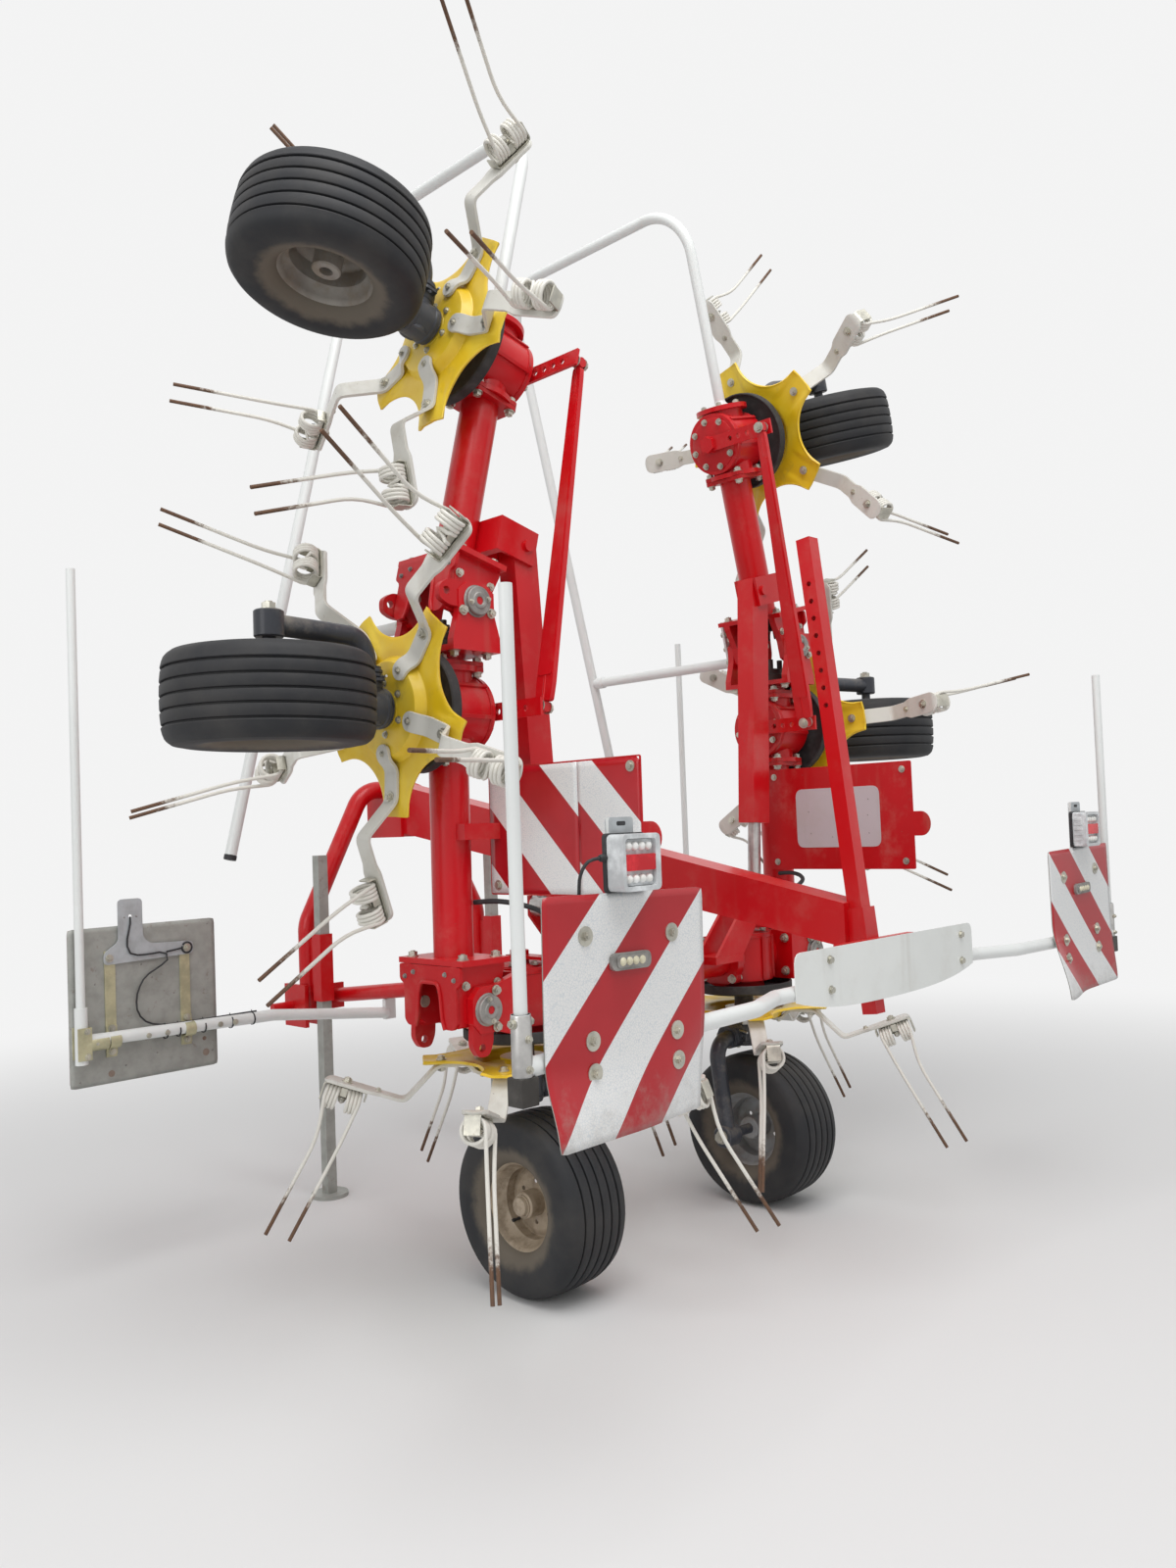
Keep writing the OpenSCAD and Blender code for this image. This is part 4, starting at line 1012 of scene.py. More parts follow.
def claw(way, axis_x):
    """Half of a claw coupling round X: a collar beside the fold axis, with four fingers towards it."""
    half = Piece()
    collar = ((10, 108), (52, 108), (52, 84), (46, 80), (46, 66), (30, 62), (10, 62))
    half.add(lathe([(r, way * z) for r, z in collar], 40, True), at(axis_x, 0, 0, 90, "Y"))
    for (y, z, _), _, _ in ring(4, 36, 0, None, 1, math.pi / 4):
        half.add(tube([(way * 70, y, z), (way * 34, y, z)], 9, 12), at(axis_x))
    return half


def build_pivot(rotor):
    """This section's side of a fold joint: the pivot's caps, dark cups of painted shade just inside their
    bores, a claw, lock lugs and bolts.
    """
    x = FOLDS[rotor.place][1]
    caps, bore_shades, lugs = Piece(), Piece(), Piece()
    lug = rounded([(x - 20, -30), (x + 44, -22), (x + 48, -84), (x + 30, -112), (x - 2, -112), (x - 16, -84)],
                  12, 5)
    hole = circle(x + 18, -90, 10, 20)
    for s in (-1, 1):
        pivot = at(x, 0, 0, -90 * s, "X")
        caps.add(lathe([(10, 139), (14, 141), (19, 141), (21, 139), (24, 138.5), (34, 138.5), (36, 136),
                        (36, 128), (40, 126), (40, 124), (10, 124)], 44, True), pivot)
        # Painted shade: a dark cup just inside each cap's bore stands in for the shade down the hollow pin
        bore_shades.add(lathe([(0.1, 136.5), (9.8, 136.5), (9.8, 134)], 20), pivot)
        low, high = sorted((-s * 104, -s * 122))
        lugs.add(plate([lug, hole[::-1]], low, high), at(turn=90, axis="X"))
    caps.build(f"{rotor.name}_pivot_caps", rotor.body, GREY_CAST, rotor.at, smooth=35, bevel=0.5)
    spots = [((x + 28 * c, s * 138, 28 * d), (0, s, 0), 0.5)
             for s in (-1, 1) for c, d in ((0.2, 0.95), (-0.2, -0.95))]
    spots += [((x - 26, s * 126, z), (0, s, 0), 0.9) for s in (-1, 1) for z in (-44, 44)]
    spots += [((x - 122, y, z), (-1, 0, 0), 1.05) for y in CASTING_BOLT_Y for z in CASTING_BOLT_Z]
    bolts(f"{rotor.name}_fold_bolts", rotor.body, spots, rotor.at)
    claw(-1, x).build(f"{rotor.name}_claw", rotor.body, GREASE, rotor.at, smooth=40, bevel=0.8)
    lugs.build(f"{rotor.name}_lock_lugs", rotor.body, CAST, rotor.at, bevel=2.0, smooth=35)
    # The dark cups in the bores are painted shade, in the dark greasy material
    bore_shades.build(f"{rotor.name}_pivot_bores", rotor.body, GREASE, rotor.at)


def build_casting(rotor, x):
    """The next section's side of a fold joint, whose axis lies at x: the claw's other half, and the outer
    wall of the casting with its bell-shaped opening, rolled rim, cheeks, pins and bolts."""
    name, body = rotor.name, rotor.body
    claw(1, x).build(f"{name}_claw_half", body, GREASE, rotor.at, smooth=40, bevel=0.8)
    bell = [(-44, 58), (-22, 49), (40, 43), (66, 33), (66, -33), (40, -43), (-22, -49), (-44, -58)]
    shoulder = [(-44, 88), (-30, 101.5), (56, 101.5), (68, 119), (107, 119)]
    outline = [(u, -v) for u, v in shoulder] + shoulder[::-1] + bell
    wall = Piece().add(plate([rounded(outline, 7, 4)], -79, -70), at(x))
    wall.add(tube(route([(u, v, -80) for u, v in bell], 16, 5), 5, 10), at(x))
    pins = Piece()
    for s in (-1, 1):
        low, high = sorted((s * 86, s * 101.5))
        wall.add(plate([rounded([(-40, low), (100, low), (100, high), (-40, high)], 5)], -71, -24), at(x))
        pins.add(tube([(x + 14, s * 50, -58), (x + 14, s * 100, -58)], 9.5, 16))
        pins.add(tube([(x + 14, s * 50, -58), (x + 14, s * 44, -58)], 15, 16))
    wall.build(f"{name}_casting_wall", body, CAST, rotor.at, bevel=2.2, smooth=35)
    pins.build(f"{name}_casting_pins", body, ZINC, rotor.at, bevel=0.8, smooth=35)
    spots = [((x + u, v, -79), (0, 0, -1), 0.45) for u, v in ((88, -62), (88, 62), (76, -96), (76, 96))]
    bolts(f"{name}_casting_bolts", body, spots, rotor.at, GREY_CAST)
    spots = [((x + 122, y, z), (1, 0, 0), 1.05) for y in CASTING_BOLT_Y for z in CASTING_BOLT_Z]
    spots += [((x + 60, s * 103, z), (0, s, 0), 0.8) for s in (-1, 1) for z in (-50, 50)]
    bolts(f"{name}_foot_bolts", body, spots, rotor.at)


for r in rotors:
    build_rotor(r)
    build_wheel(r)
    build_leg(r)
    build_housing(r)
    if r.place in FOLDS:
        after, _, axis_x = FOLDS[r.place]
        build_pivot(r)
        build_casting(frames[f"{r.side}_{after}"], axis_x)


# Warning boards, lamps and name plate
ORIGIN_Y = 172.5                                         # the frame's zero, ahead of the drive shafts
BOARD_S, TUBE_R = 423, 17                                # a square board, and the tubes that carry it
BOARDS = {"front": (1075, 890, 749, 1), "rear": (1000, -872, 855, -1)}  # the middle, and the way it faces
TUBE_Y, TUBE_Z = {"front": 872.7, "rear": -854.7}, {"front": 655, "rear": 800}
POLE_X = {"front": 1262, "rear": 1245}
LAMP_X, LAMP_Y, LAMP_Z = 1000, -870, 1120
STRIP_LIFT = 89                                          # a strip light, above its board's middle
NAME_Y, NAME_Z = -820, 826
UPRIGHT = at(turn=90, axis="X")                          # stands a plate up: its Z then points back


def mirror(side, x=0, y=0, z=0):
    """A place in the frame whose X points outwards on that side."""
    k = -1 if side == "left" else 1
    return at(0, -ORIGIN_Y) @ Matrix.Diagonal((k, 1, 1, 1)) @ at(x, y, z)


def grid_faces(rows, columns):
    """The faces between the points of a grid that are listed row by row."""
    return [(i * columns + j, (i + 1) * columns + j, (i + 1) * columns + j + 1, i * columns + j + 1)
            for i in range(rows - 1) for j in range(columns - 1)]


def sheet_grid(width, height, steps, corner, bend=None):
    """A sheet in the XZ plane with round corners: positions, faces, and for each position how far it lies
    across the bands and how low it is."""
    u = np.linspace(-1, 1, steps + 1)
    x, z = np.meshgrid(u * width / 2, u * height / 2, indexing="ij")
    for sx in (-1, 1):
        for sz in (-1, 1):
            cx, cz = sx * (width / 2 - corner), sz * (height / 2 - corner)
            inside = (x * sx > cx * sx) & (z * sz > cz * sz)
            dx, dz = x - cx, z - cz
            d = np.hypot(dx, dz)
            m = np.maximum(np.abs(dx), np.abs(dz))
            k = np.where(inside & (d > 0), m / np.maximum(d, 1e-6), 1)
            x, z = np.where(inside, cx + dx * k, x), np.where(inside, cz + dz * k, z)
    slant = ((x + z) / math.sqrt(2)).ravel()
    low = (0.5 - z / height).ravel()
    y = bend(x, z) if bend else np.zeros_like(x)
    verts = np.stack([x, y, z], axis=-1).reshape(-1, 3)
    return verts, grid_faces(steps + 1, steps + 1), slant, low


def knocked(side):
    """How far a rear board's lower corners are bent: the outer one back, the inner one ahead or back."""
    outer, inner = {"left": (-30, 22), "right": (-6, -38)}[side]

    def bend(u, v):
        down = smooth(-v, 70, 211)
        from_outer = np.clip(0.5 + u / BOARD_S, 0, 1)
        corner = smooth(-v - u, 205, 423)
        return outer * down * from_outer ** 1.3 + inner * corner - 5 * smooth(-v, 0, 211)

    return bend


def board_place(side, end):
    """A board's place, a little tilted, and the way that its face looks."""
    x, y, z, facing = BOARDS[end]
    tilt = {("left", "rear"): -1.2, ("right", "rear"): -1.5}.get((side, end), 0)
    return mirror(side, x, y, z) @ at(turn=tilt, axis="Y"), facing


def build_boards():
    """The banded faces of the four boards, and the sheets behind them as one piece."""
    backs = Piece()
    for side in SIDES:
        for end in BOARDS:
            place, facing = board_place(side, end)
            bend = knocked(side) if end == "rear" else None
            verts, faces, slant, low = sheet_grid(BOARD_S, BOARD_S, 30, 8, bend)
            front = bpy.data.meshes.new(f"{side}_{end}_board_face")
            front.from_pydata((verts + (0, facing * 3.0, 0)).tolist(), [], faces)
            note(front, "slant", slant)
            note(front, "low", low)
            show(settle(front, place), f"{side}_{end}_board_face", "frame", STRIPES, wall=0.6)
            backs.add((verts + (0, facing * 1.6, 0), faces), place)
    backs.build("board_sheets", "frame", GALV, None, wall=2.4, replaces=["warning_boards"])


def board_bolts(side, end):
    """The bolts of a board, at shares of its width from the outer edge and of its height from the top."""
    place, facing = board_place(side, end)
    spots = []
    for f, g in ((0.24, 0.17), (0.78, 0.19), (0.27, 0.60), (0.80, 0.62), (0.27, 0.73), (0.80, 0.75)):
        u, v = (0.5 - f) * BOARD_S, (0.5 - g) * BOARD_S
        if end == "front" and 0.5 < g < 0.7:
            continue
        back = float(knocked(side)(u, v)) if end == "rear" else 0.0
        spots.append(((u, back + facing * 3.3, v), (0, facing, 0), 1.0))
    bolts(f"{side}_{end}_board_bolts", "frame", spots, place, head_width=14.0, head_height=6.0,
          washer_width=35.0, washer_height=2.0, stud_length=10.0)


def build_strip_light(side):
    """The strip of four lights on a rear board."""
    place, _ = board_place(side, "rear")
    strip = place @ at(0, -3.2, STRIP_LIFT) @ UPRIGHT
    body = Piece().add(plate([oblong(104, 31, 15, 7)], 0, 8))
    body.add(plate([oblong(80, 22, 9)], 8, 10.5))
    body.build(f"{side}_strip_body", "frame", GREY_CAST, strip, bevel=1.2)
    lenses = Piece()
    for k in range(4):
        lenses.add(lathe([(0.1, 15), (3.5, 14.5), (6.5, 13), (8, 10.5), (8, 9.5)], 20), at(-25.5 + 17 * k))
    lenses.build(f"{side}_strip_lenses", "frame", AMBER, strip, smooth=60)


def build_lamp(side):
    """The square lamp over a rear board: its shell, eight round lights, the red band and the bracket, with
    painted shade in the bracket's slot.
    """
    lamp_at = mirror(side, LAMP_X, LAMP_Y, LAMP_Z) @ UPRIGHT

    def part(name, loops, low, high, material, **look):
        Piece().add(plate(loops, low, high)).build(f"{side}_lamp_{name}", "frame", material, lamp_at, **look)

    part("back", [oblong(104, 106, 9)], 0.5, 10, BLACK, bevel=1.5)
    rim = oblong(100, 102, 12)
    window = rounded([(-37, -42), (42, -42), (42, 42), (-37, 42)], 6)
    shell = Piece().add(plate([rim], 10, 40)).add(plate([rim, window[::-1]], 40, 49.5))
    for z in range(-48, 43, 15):
        shell.add(plate([[(-51.2, z), (-50, z), (-50, z + 6), (-51.2, z + 6)]], 14, 38))
    shell.build(f"{side}_lamp_shell", "frame", CLEAR, lamp_at, bevel=2.5, smooth=40, replaces=["tail_lamps"])
    lights = Piece()
    for v in (-29, 29):
        for k in range(4):
            dome = lathe([(0.1, 48.5), (4, 47.8), (7, 45.5), (8.3, 42), (8.3, 40)], 20)
            lights.add(dome, at(-24 + 17.6 * k, v, 0))
    lights.build(f"{side}_lamp_lights", "frame", LENS, lamp_at, smooth=60)
    part("red_lens", [rounded([(-37, -14.5), (42, -14.5), (42, 14.5), (-37, 14.5)], 3)], 40, 48, RED_LENS,
         bevel=1.5)
    slot = rounded([(-12, 66), (12, 66), (12, 74), (-12, 74)], 3.9)
    ear = rounded([(-32, -70), (32, -70), (32, 81.5), (-32, 81.5)], 8)
    part("bracket", [ear, slot[::-1]], 0.1, 0.8, PLATE_ZINC)
    part("bracket_back", [ear], -8.8, -8.1, PLATE_ZINC)
    # Painted shade: a black sheet fills the bracket's slot, standing in for the shaded gap behind it
    part("bracket_slot", [slot], 0.2, 0.5, BLACK)


def strap_clamp(r):
    """A saddle over a tube: its path lies in XZ, the tube's middle at zero and its feet below."""
    arc = [(-(r + 2) * math.cos(t), (r + 2) * math.sin(t)) for t in np.linspace(0.1, math.pi - 0.1, 12)]
    feet = [(-39, -12), (-r - 6, -12), (-r - 3, -6)]
    path, _ = resample(feet + arc + [(-x, z) for x, z in feet[::-1]], 4)
    return strap(path, np.full(len(path), 15.0), 3.5)


def build_mounts(side, end):
    """What holds a board and its pole to the tube: saddles, strips, sleeve, socket and their bolts."""
    x, _, _, facing = BOARDS[end]
    behind = mirror(side, x, TUBE_Y[end], TUBE_Z[end])
    saddles, strips, spots = Piece(), Piece(), []
    near, far = sorted((facing * 13.8, facing * 17.2))
    for u in ((100, -116) if end == "front" else (112, -112)):
        on_end = Matrix(((0, 1, 0, u), (0, 0, -facing, 0), (1, 0, 0, 0), (0, 0, 0, 1)))
        saddles.add(strap_clamp(TUBE_R), on_end)
        strips.add(cuboid((u - 15, near, -46), (u + 15, far, 240 if end == "front" else 215)))
        spots += [((u, facing * 10, v), (0, -facing, 0), 0.85) for v in (-31, 31)]
    saddles.build(f"{side}_{end}_saddles", "frame", STRIP_ZINC, behind, bevel=0.5)
    strips.build(f"{side}_{end}_board_strips", "frame", STRIP_ZINC, behind, bevel=0.6)
    u = POLE_X[end] - x
    if end == "front":
        sleeve = lathe([(17.1, 0), (20.5, 0), (20.5, 62), (19.5, 66), (17.1, 66)], 32, True)
        Piece().add(sleeve, at(118, 0, 0, 90, "Y")).build(
            f"{side}_{end}_sleeve", "frame", STRIP_ZINC, behind, bevel=0.5)
        channel = [(u - 21, -20), (u + 17, -20), (u + 17, -17.2), (u - 18, -17.2), (u - 18, 17.2),
                   (u + 17, 17.2), (u + 17, 20), (u - 21, 20)]
        Piece().add(plate([channel], -40, 46)).build(
            f"{side}_{end}_socket", "frame", STRIP_ZINC, behind, bevel=0.8)
        spots += [((u - 8, -20, v), (0, -1, 0), 0.7) for v in (36, -30)]
        on_tube = ((152, 0.5), (9, 0.6), (-45, 0.6), (-205, 0.65), (-252, 0.7))
        spots += [((w, -facing * TUBE_R, 0), (0, -facing, 0), size) for w, size in on_tube]
    else:
        sleeve = lathe([(13, -22), (17.8, -22), (17.8, 76), (16.5, 80), (12.1, 80), (12.1, 76)], 32, True)
        Piece().add(sleeve, at(u)).build(f"{side}_{end}_sleeve", "frame", BRIGHT, behind, bevel=0.3)
        Piece().add(cuboid((u - 19, -19, -71), (u + 19, 19, -23))).build(
            f"{side}_{end}_pole_block", "frame", GREASE, behind, bevel=2)
        spots += [((u + s * 17, 0, 66), (s, 0, 0), 0.75) for s in (-1, 1)]
        spots += [((u, -17, v), (0, -1, 0), 0.6) for v in (40, -10)]
    bolts(f"{side}_{end}_mount_bolts", "frame", spots, behind, head_width=17.0, head_height=7.0,
          washer_width=24.0)


def build_front_back(side):
    """The lamp plate, rivets and marks on the back of a front board."""
    x, _, z, _ = BOARDS["front"]
    board = mirror(side, x, TUBE_Y["front"], z) @ UPRIGHT
    shape = rounded([(118, 108), (118, 141), (76, 168), (76, 284), (6, 284), (6, 176), (-14, 156),
                     (-142, 152), (-142, 116)], 14, 6)
    hole = circle(41, 236, 5, 16)
    Piece().add(plate([shape, hole[::-1]], -13.6, -10.8)).build(
        f"{side}_front_lamp_plate", "frame", PLATE_ZINC, board, bevel=0.6)
    spots = [((u, v, -10.8), (0, 0, 1), 0.85) for u, v in ((102, 126), (-122, 134))]
    bolts(f"{side}_front_lamp_plate_bolts", "frame", spots, board, head_width=15.0, washer_width=26.0)
    rivets = Piece()
    dots = [(-190, 196), (-196, -170), (186, -196), (-20, 60), (10, 100), (-84, 10), (-30, -150), (60, -170),
            (140, 60), (58, 234), (24, 234)]
    for u, v in dots:
        lift = -10.8 if v > 200 and u > 0 else -17.6
        head = lathe([(0.1, lift + 1.6), (1.6, lift + 1.3), (2.8, lift), (2.8, lift - 1)], 12)
        rivets.add(head, at(u, v, 0))
    rivets.build(f"{side}_front_rivets", "frame", GREY_CAST, board, smooth=60)
    marks = Piece()
    for u, v, r in ((100, -186, 9), (-176, -172, 10), (-172, -132, 6)):
        marks.add(plate([circle(u, v, r, 20)], -17.7, -17.4))
    marks.build(f"{side}_front_marks", "frame", RUSTY, board)


def build_name_plate():
    """The blank name plate with a bowed lower edge."""
    bow = [(407 * t, -65 + 22 * t ** 4 - 14 * (1 - t * t)) for t in np.linspace(-1, 1, 25)]
    shape = [(385, 65), (397, 62), (404, 54), (407, 42)] + bow[::-1]
    shape += [(-407, 42), (-404, 54), (-397, 62), (-385, 65)]
    name_at = at(0, NAME_Y - ORIGIN_Y, NAME_Z) @ UPRIGHT
    Piece().add(plate([shape], -3, 0)).build(
        "name_plate_sheet", "frame", BLANK, name_at, bevel=0.8, replaces=["name_plate"])
    spots = [((u, v, 0), (0, 0, 1), 1.0) for u in (-272, 345) for v in (-30, 38)]
    bolts("name_plate_bolts", "frame", spots, name_at, head_width=13.0, head_height=6.0, washer_width=20.0,
          stud_length=8.0)


build_boards()
for side in SIDES:
    for end in BOARDS:
        board_bolts(side, end)
    build_strip_light(side)
    build_lamp(side)
for side in SIDES:
    for end in BOARDS:
        build_mounts(side, end)
    build_front_back(side)
build_name_plate()


# Guards, ties and side plates
GUARD_OUT, GUARD_AHEAD, GUARD_END = 755, 820, -1325      # the corners of a guard's tube about its rotor
CROSS_X, BRACKET_Y = -710, 152                           # its cross tube, and the bracket that carries it
LEVER_EYE = (0, -220, 125.9)                             # a timing lever's eye about its rotor
SIDE_LOW, SIDE_HIGH = (-460, -560, 95), (-140, -40, 98)  # the corners of a side plate about its rotor


def build_guard(side):
    """The tube that stands round the outer rotor, with its end bracket, cross tube and clamp plates."""
    rotor = frames[f"{side}_outer"]
    guard = Piece()
    corners = [(HOUSING_OUT, 0, 0), (GUARD_OUT, 0, 0), (GUARD_OUT, GUARD_AHEAD, 0),
               (GUARD_END, GUARD_AHEAD, 0)]
    guard.add(tube(bent(corners, 160), TUBE_R, 24))
    guard.add(tube([(CROSS_X, BRACKET_Y, 0), (CROSS_X, 806, 0)], TUBE_R, 24))
    guard.add(cuboid((-740, 144, -30), (-566, BRACKET_Y, 30)))
    guard.add(cuboid((-580, 125, -30), (-566, 144, 30)))
    guard.add(lathe([(17, 112), (30, 112), (30, 118), (20, 126), (17, 134)], 32, True), at(turn=90, axis="Y"))
    guard.add(lathe([(17, -6), (21, -6), (21, 24), (17, 26)], 28, True), at(CROSS_X, 790, 0, 90, "X"))
    guard.build(f"{side}_guard_tube", rotor.body, WHITE, rotor.at, smooth=35, replaces=[f"{side}_guard"])
    cap = lathe([(0.1, 0), (17.4, 0), (18.2, 2), (18.2, 14), (17.2, 14)], 24)
    Piece().add(cap, at(GUARD_END - 2, GUARD_AHEAD, 0, 90, "Y")).build(
        f"{side}_guard_cap", rotor.body, BLACK, rotor.at, smooth=35)
    spots = [((x, y, z), (0, way, 0), size) for y, way, size in ((BRACKET_Y, 1, 0.9), (144, -1, 0.8))
             for x in (-610, -660) for z in (-16, 16)]
    bolts(f"{side}_guard_bolts", rotor.body, spots, rotor.at)


def build_tie(side):
    """The flat bar of the tie between the two timing levers, wider at its inner end."""
    eye_a, eye_b = (frames[f"{side}_{place}"].at @ Vector(LEVER_EYE) for place in ("inner", "outer"))
    length = (eye_b - eye_a).length
    way, ahead = (eye_b - eye_a).normalized(), Vector((0, 1, 0))
    place = Matrix.Translation(eye_a) @ Matrix((way, ahead, way.cross(ahead))).transposed().to_4x4()
    outline = [(14, -26), (60, -29), (length - 40, -15), (length - 14, -13), (length - 14, 13),
               (length - 40, 15), (60, 29), (14, 26)]
    raised = [(80, -24), (length - 90, -11), (length - 90, 11), (80, 24)]
    bar = Piece().add(plate([rounded(outline, 8)], -7, 7)).add(plate([rounded(raised, 8)], 6, 9.5))
    bar.build(f"{side}_tie_bar", f"{side}_tie", RED, place, bevel=1.5)
    spots = [((x, 0, way * 12), (0, 0, way), 1.0) for x in (0, length) for way in (1, -1)]
    bolts(f"{side}_tie_bolts", f"{side}_tie", spots, place, head_width=20.0, washer_width=32.0)


def build_side_plate(side):
    """A side plate: banded on its outer face, with a pale panel on its inner face."""
    rotor = frames[f"{side}_inner"]
    name, body = f"{side}_side_plate", rotor.body
    place = rotor.at @ at(*[(a + b) / 2 for a, b in zip(SIDE_LOW, SIDE_HIGH)])
    wide, deep = SIDE_HIGH[1] - SIDE_LOW[1], SIDE_HIGH[0] - SIDE_LOW[0]
    tab = [(-62, -wide / 2 + 6)] + [(-26 + 36 * math.cos(t), -wide / 2 - 24 - 30 * math.sin(t))
                                    for t in np.linspace(math.pi, 0, 14)] + [(10, -wide / 2 + 6)]
    sheet = Piece().add(plate([oblong(deep, wide, 6)], -1.5, 1.5)).add(plate([tab], -1.4, 1.4))
    sheet.build(f"{name}_sheet", body, CAST, place, bevel=0.8, replaces=[name])
    for end, low, high, shift in (("rear", -wide / 2 + 4, -60, 13), ("front", -59, wide / 2 - 4, 39)):
        a, b = np.meshgrid(np.linspace(-deep / 2 + 4, deep / 2 - 4, 20), np.linspace(low, high, 20),
                           indexing="ij")
        verts = np.stack([a, b, np.full_like(a, -2.0)], axis=-1).reshape(-1, 3)
        face = bpy.data.meshes.new(f"{name}_bands_{end}")
        face.from_pydata(verts.tolist(), [], grid_faces(20, 20))
        note(face, "slant", ((a - b) / math.sqrt(2) + shift).ravel())
        note(face, "low", np.full(a.size, 0.3))
        show(settle(face, place), f"{name}_bands_{end}", body, STRIPES, wall=0.6)
    Piece().add(plate([oblong(184, 300, 26, 7)], 1.5, 2.3)).build(
        f"{name}_panel", body, PANEL, place, bevel=0.3)
    corners = [(a, b) for a in (-deep / 2 + 24, deep / 2 - 24) for b in (-wide / 2 + 30, wide / 2 - 30)]
    spots = [((a, b, 1.6), (0, 0, 1), 0.8) for a, b in corners]
    spots += [((a, b, -2.3), (0, 0, -1), 1.0) for a, b in corners]
    bolts(f"{name}_bolts", body, spots, place, head_width=14.0, head_height=6.0, washer_width=26.0,
          stud_length=9.0)
    specks = Piece()
    for a, b in ((-50, -110), (-48, 98), (20, 104), (52, -112), (4, -108), (-60, 20)):
        specks.add(lathe([(0.1, 3.4), (1.7, 3.0), (2.4, 2.2)], 10), at(a, b, 0))
    specks.build(f"{name}_specks", body, GREY_CAST, place, smooth=60)


for build in (build_guard, build_tie, build_side_plate):
    for side in SIDES:
        build(side)


# Cables and hoses
def cord(name, corners, bend, diameter, place, body="frame", count=38, sides=10):
    """A round cord along corners given in millimetres of place, with its bends rounded."""
    line = carried(route(corners, bend, 6), place)
    whole = np.linalg.norm(np.diff(line, axis=0), axis=1).sum()
    line, _ = resample(line, max(whole / count, 7))
    piece = Piece().add(tube(line, diameter / 2, sides)).build(name, body, BLACK, None, smooth=60)
    return piece, line


def fold_hose(side):
    """The hose that loops over the inner fold joint, from the frame to the wing."""
    corners = [(392, -128, 918), (440, -131, 930), (494, -150, 952), (540, -176, 972), (580, -176, 990),
               (612, -140, 1004), (634, -90, 1010), (650, -34, 1006)]
    hose, line = cord(f"{side}_fold_hose", corners, 60, 13, mirror(side), None, 34, 12)
    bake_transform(hose)


def lamp_cable(side):
    """The cable from a lamp down behind its board, with the gland where it leaves."""
    lamp_at = mirror(side, LAMP_X, LAMP_Y, LAMP_Z)
    corners = [(52, -6, 10), (70, -6, 10), (92, -2, 6), (104, 6, -18), (102, 12, -58), (98, 14, -96),
               (96, 14, -180), (90, 10, -268), (84, 4, -298)]
    cord(f"{side}_lamp_cable", corners, 22, 6.5, lamp_at)
    gland = lathe([(3.3, 0), (7, 0), (7, 10), (5, 14), (3.3, 14)], 20, True)
    Piece().add(gland, at(51, -6, 10, 90, "Y")).build(
        f"{side}_lamp_gland", "frame", BLACK, lamp_at, smooth=35)


def front_cable(side):
    """The cable on the back of a front board and along the tube, with its ties."""
    x, _, z, _ = BOARDS["front"]
    back = mirror(side, x, TUBE_Y["front"], z)
    corners = [(41, 12, 234), (41, 5, 229), (47, 7.4, 196), (56, 7.4, 160), (44, 7.4, 128), (0, 7.4, 126),
               (-52, 7.4, 130), (-70, 6, 112), (-44, 7, 92), (6, 9, 66), (30, 9, 20), (31, 6, -30),
               (6, 3, -62), (-40, 0, -73.5), (-150, 0, -74.2), (-330, 0, -74.2)]
    cord(f"{side}_front_cable", corners, 20, 5, back)
    ties = Piece()
    for u in (-46, -84, -160, -245, -315):
        ties.add(lathe([(17.2, -2), (18.6, -2), (18.6, 2), (17.2, 2)], 28, True), at(u, 0, -94, 90, "Y"))
        ties.add(tube([(u, 0, -77), (u + 3, -4, -68)], 1.3, 8))
    hoop = [(-122 + 15 * math.cos(t), 9.5, 134 + 15 * math.sin(t)) for t in np.linspace(0.6, 6.6, 26)]
    ties.add(tube(hoop, 2.5, 8))
    ties.add(tube([(-60, 8, 128), (-84, 8, 131), (-107, 8.5, 134)], 2.5, 8))
    ties.build(f"{side}_cable_ties", "frame", BLACK, back, smooth=35)


for side in SIDES:
    fold_hose(side)
for side in SIDES:
    lamp_cable(side)
    front_cable(side)


# Finishes of the CAD parts that show as they are
FINISH = (("board_tubes", WHITE), ("marker_poles", WHITE), ("name_plate", WHITE), ("_guard", WHITE),
          ("pto_stub", BRIGHT), ("_rod", BRIGHT), ("front_leg", GALV), ("_leg", DARK), ("centre_legs", DARK),
          ("_side_plate", CAST), ("tail_lamps", WHITE), ("_star", YELLOW), ("_tines", CREAM), ("_tyre", TYRE),
          ("_rim", RIM_OTHER), ("_arm", RED), ("centre_housings", RED), ("warning_boards", GALV))
for name, cad in nodes.items():
    finish = next((m for key, m in FINISH if key in name), RED)
    for holder in cad.material_slots:
        holder.material = finish


# Floor, backdrop and light
FLOOR_HALF = 30                                          # metres; the floor is a square about the part
FLOOR_WHITE, BACKDROP = 0.74, 0.90
FADE = 1.8, 5.5                                          # metres over which the floor turns into backdrop
SKY_LIGHT = 0.55                                         # the sky's strength where it only gives light


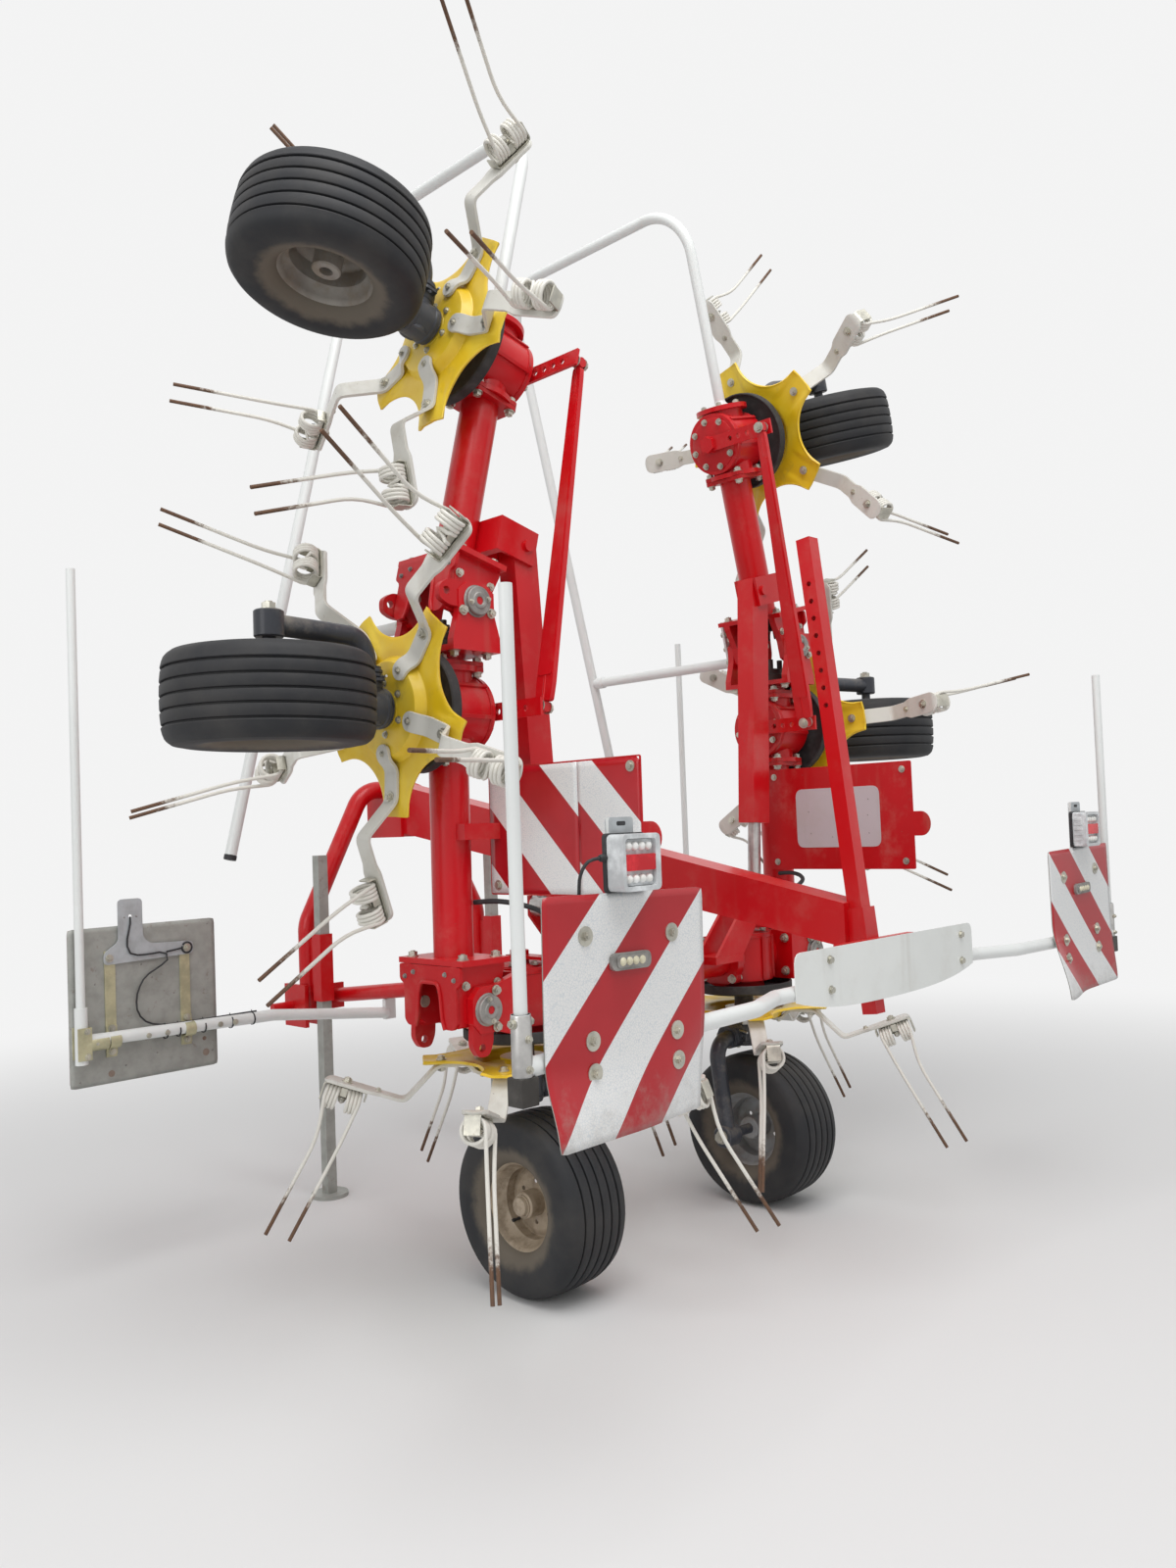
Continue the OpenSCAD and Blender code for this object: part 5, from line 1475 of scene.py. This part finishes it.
def build_floor():
    """A pale floor that shades off into the plain backdrop, for the camera only."""
    s = Shader("pale_floor")
    s.finish(Base_Color=(FLOOR_WHITE,) * 3, Roughness=0.9, Specular_IOR_Level=0.1)
    away = s.node("VectorMath", {"operation": "LENGTH"}, {0: s.where}).outputs["Value"]
    seen = Num(s, s.node("LightPath").outputs["Is Camera Ray"])
    glow = s.node("Emission", None, {"Color": (BACKDROP,) * 3})
    blend = s.node("MixShader", None, {0: s.step(away, *FADE) * seen, 1: s.surface.outputs[0],
                                       2: glow.outputs[0]})
    s.put(s.end, blend.outputs[0])
    h = FLOOR_HALF
    made = bpy.data.meshes.new("floor")
    made.from_pydata([(-h, -h, 0), (h, -h, 0), (h, h, 0), (-h, h, 0)], [], [(0, 1, 2, 3)])
    made.materials.append(s.material)
    floor = bpy.data.objects.new("floor", made)
    bpy.context.scene.collection.objects.link(floor)


def area_light(name, place, target, size, power):
    """A round area light at a place in metres, turned to its target."""
    light = bpy.data.lights.new(name, "AREA")
    light.shape, light.size, light.energy = "DISK", size, power
    holder = bpy.data.objects.new(name, light)
    holder.matrix_world = aimed(place, Vector(place) - Vector(target))
    bpy.context.scene.collection.objects.link(holder)


def build_sky():
    """A white sky, brighter where the camera sees it, straight or through glossy or clear things."""
    sky = bpy.data.worlds.new("sky")
    bpy.context.scene.world = sky
    sky.use_nodes = True
    tree = sky.node_tree
    rays = tree.nodes.new("ShaderNodeLightPath")
    seen = rays.outputs["Is Camera Ray"]
    for kind in ("Is Glossy Ray", "Is Transmission Ray"):
        either = tree.nodes.new("ShaderNodeMath")
        either.operation, either.use_clamp = "ADD", True
        tree.links.new(seen, either.inputs[0])
        tree.links.new(rays.outputs[kind], either.inputs[1])
        seen = either.outputs[0]
    level = tree.nodes.new("ShaderNodeMapRange")
    tree.links.new(seen, level.inputs[0])
    level.inputs[3].default_value, level.inputs[4].default_value = SKY_LIGHT, BACKDROP
    shade = tree.nodes["Background"]
    shade.inputs["Color"].default_value = (1, 1, 1, 1)
    tree.links.new(level.outputs[0], shade.inputs["Strength"])


build_floor()
area_light("overhead", (-1.5, -2.5, 6.5), (0, 0, 1), 5.0, 260)
area_light("fill", (-6.0, -1.0, 3.0), (0, 0, 1.2), 3.0, 60)
build_sky()
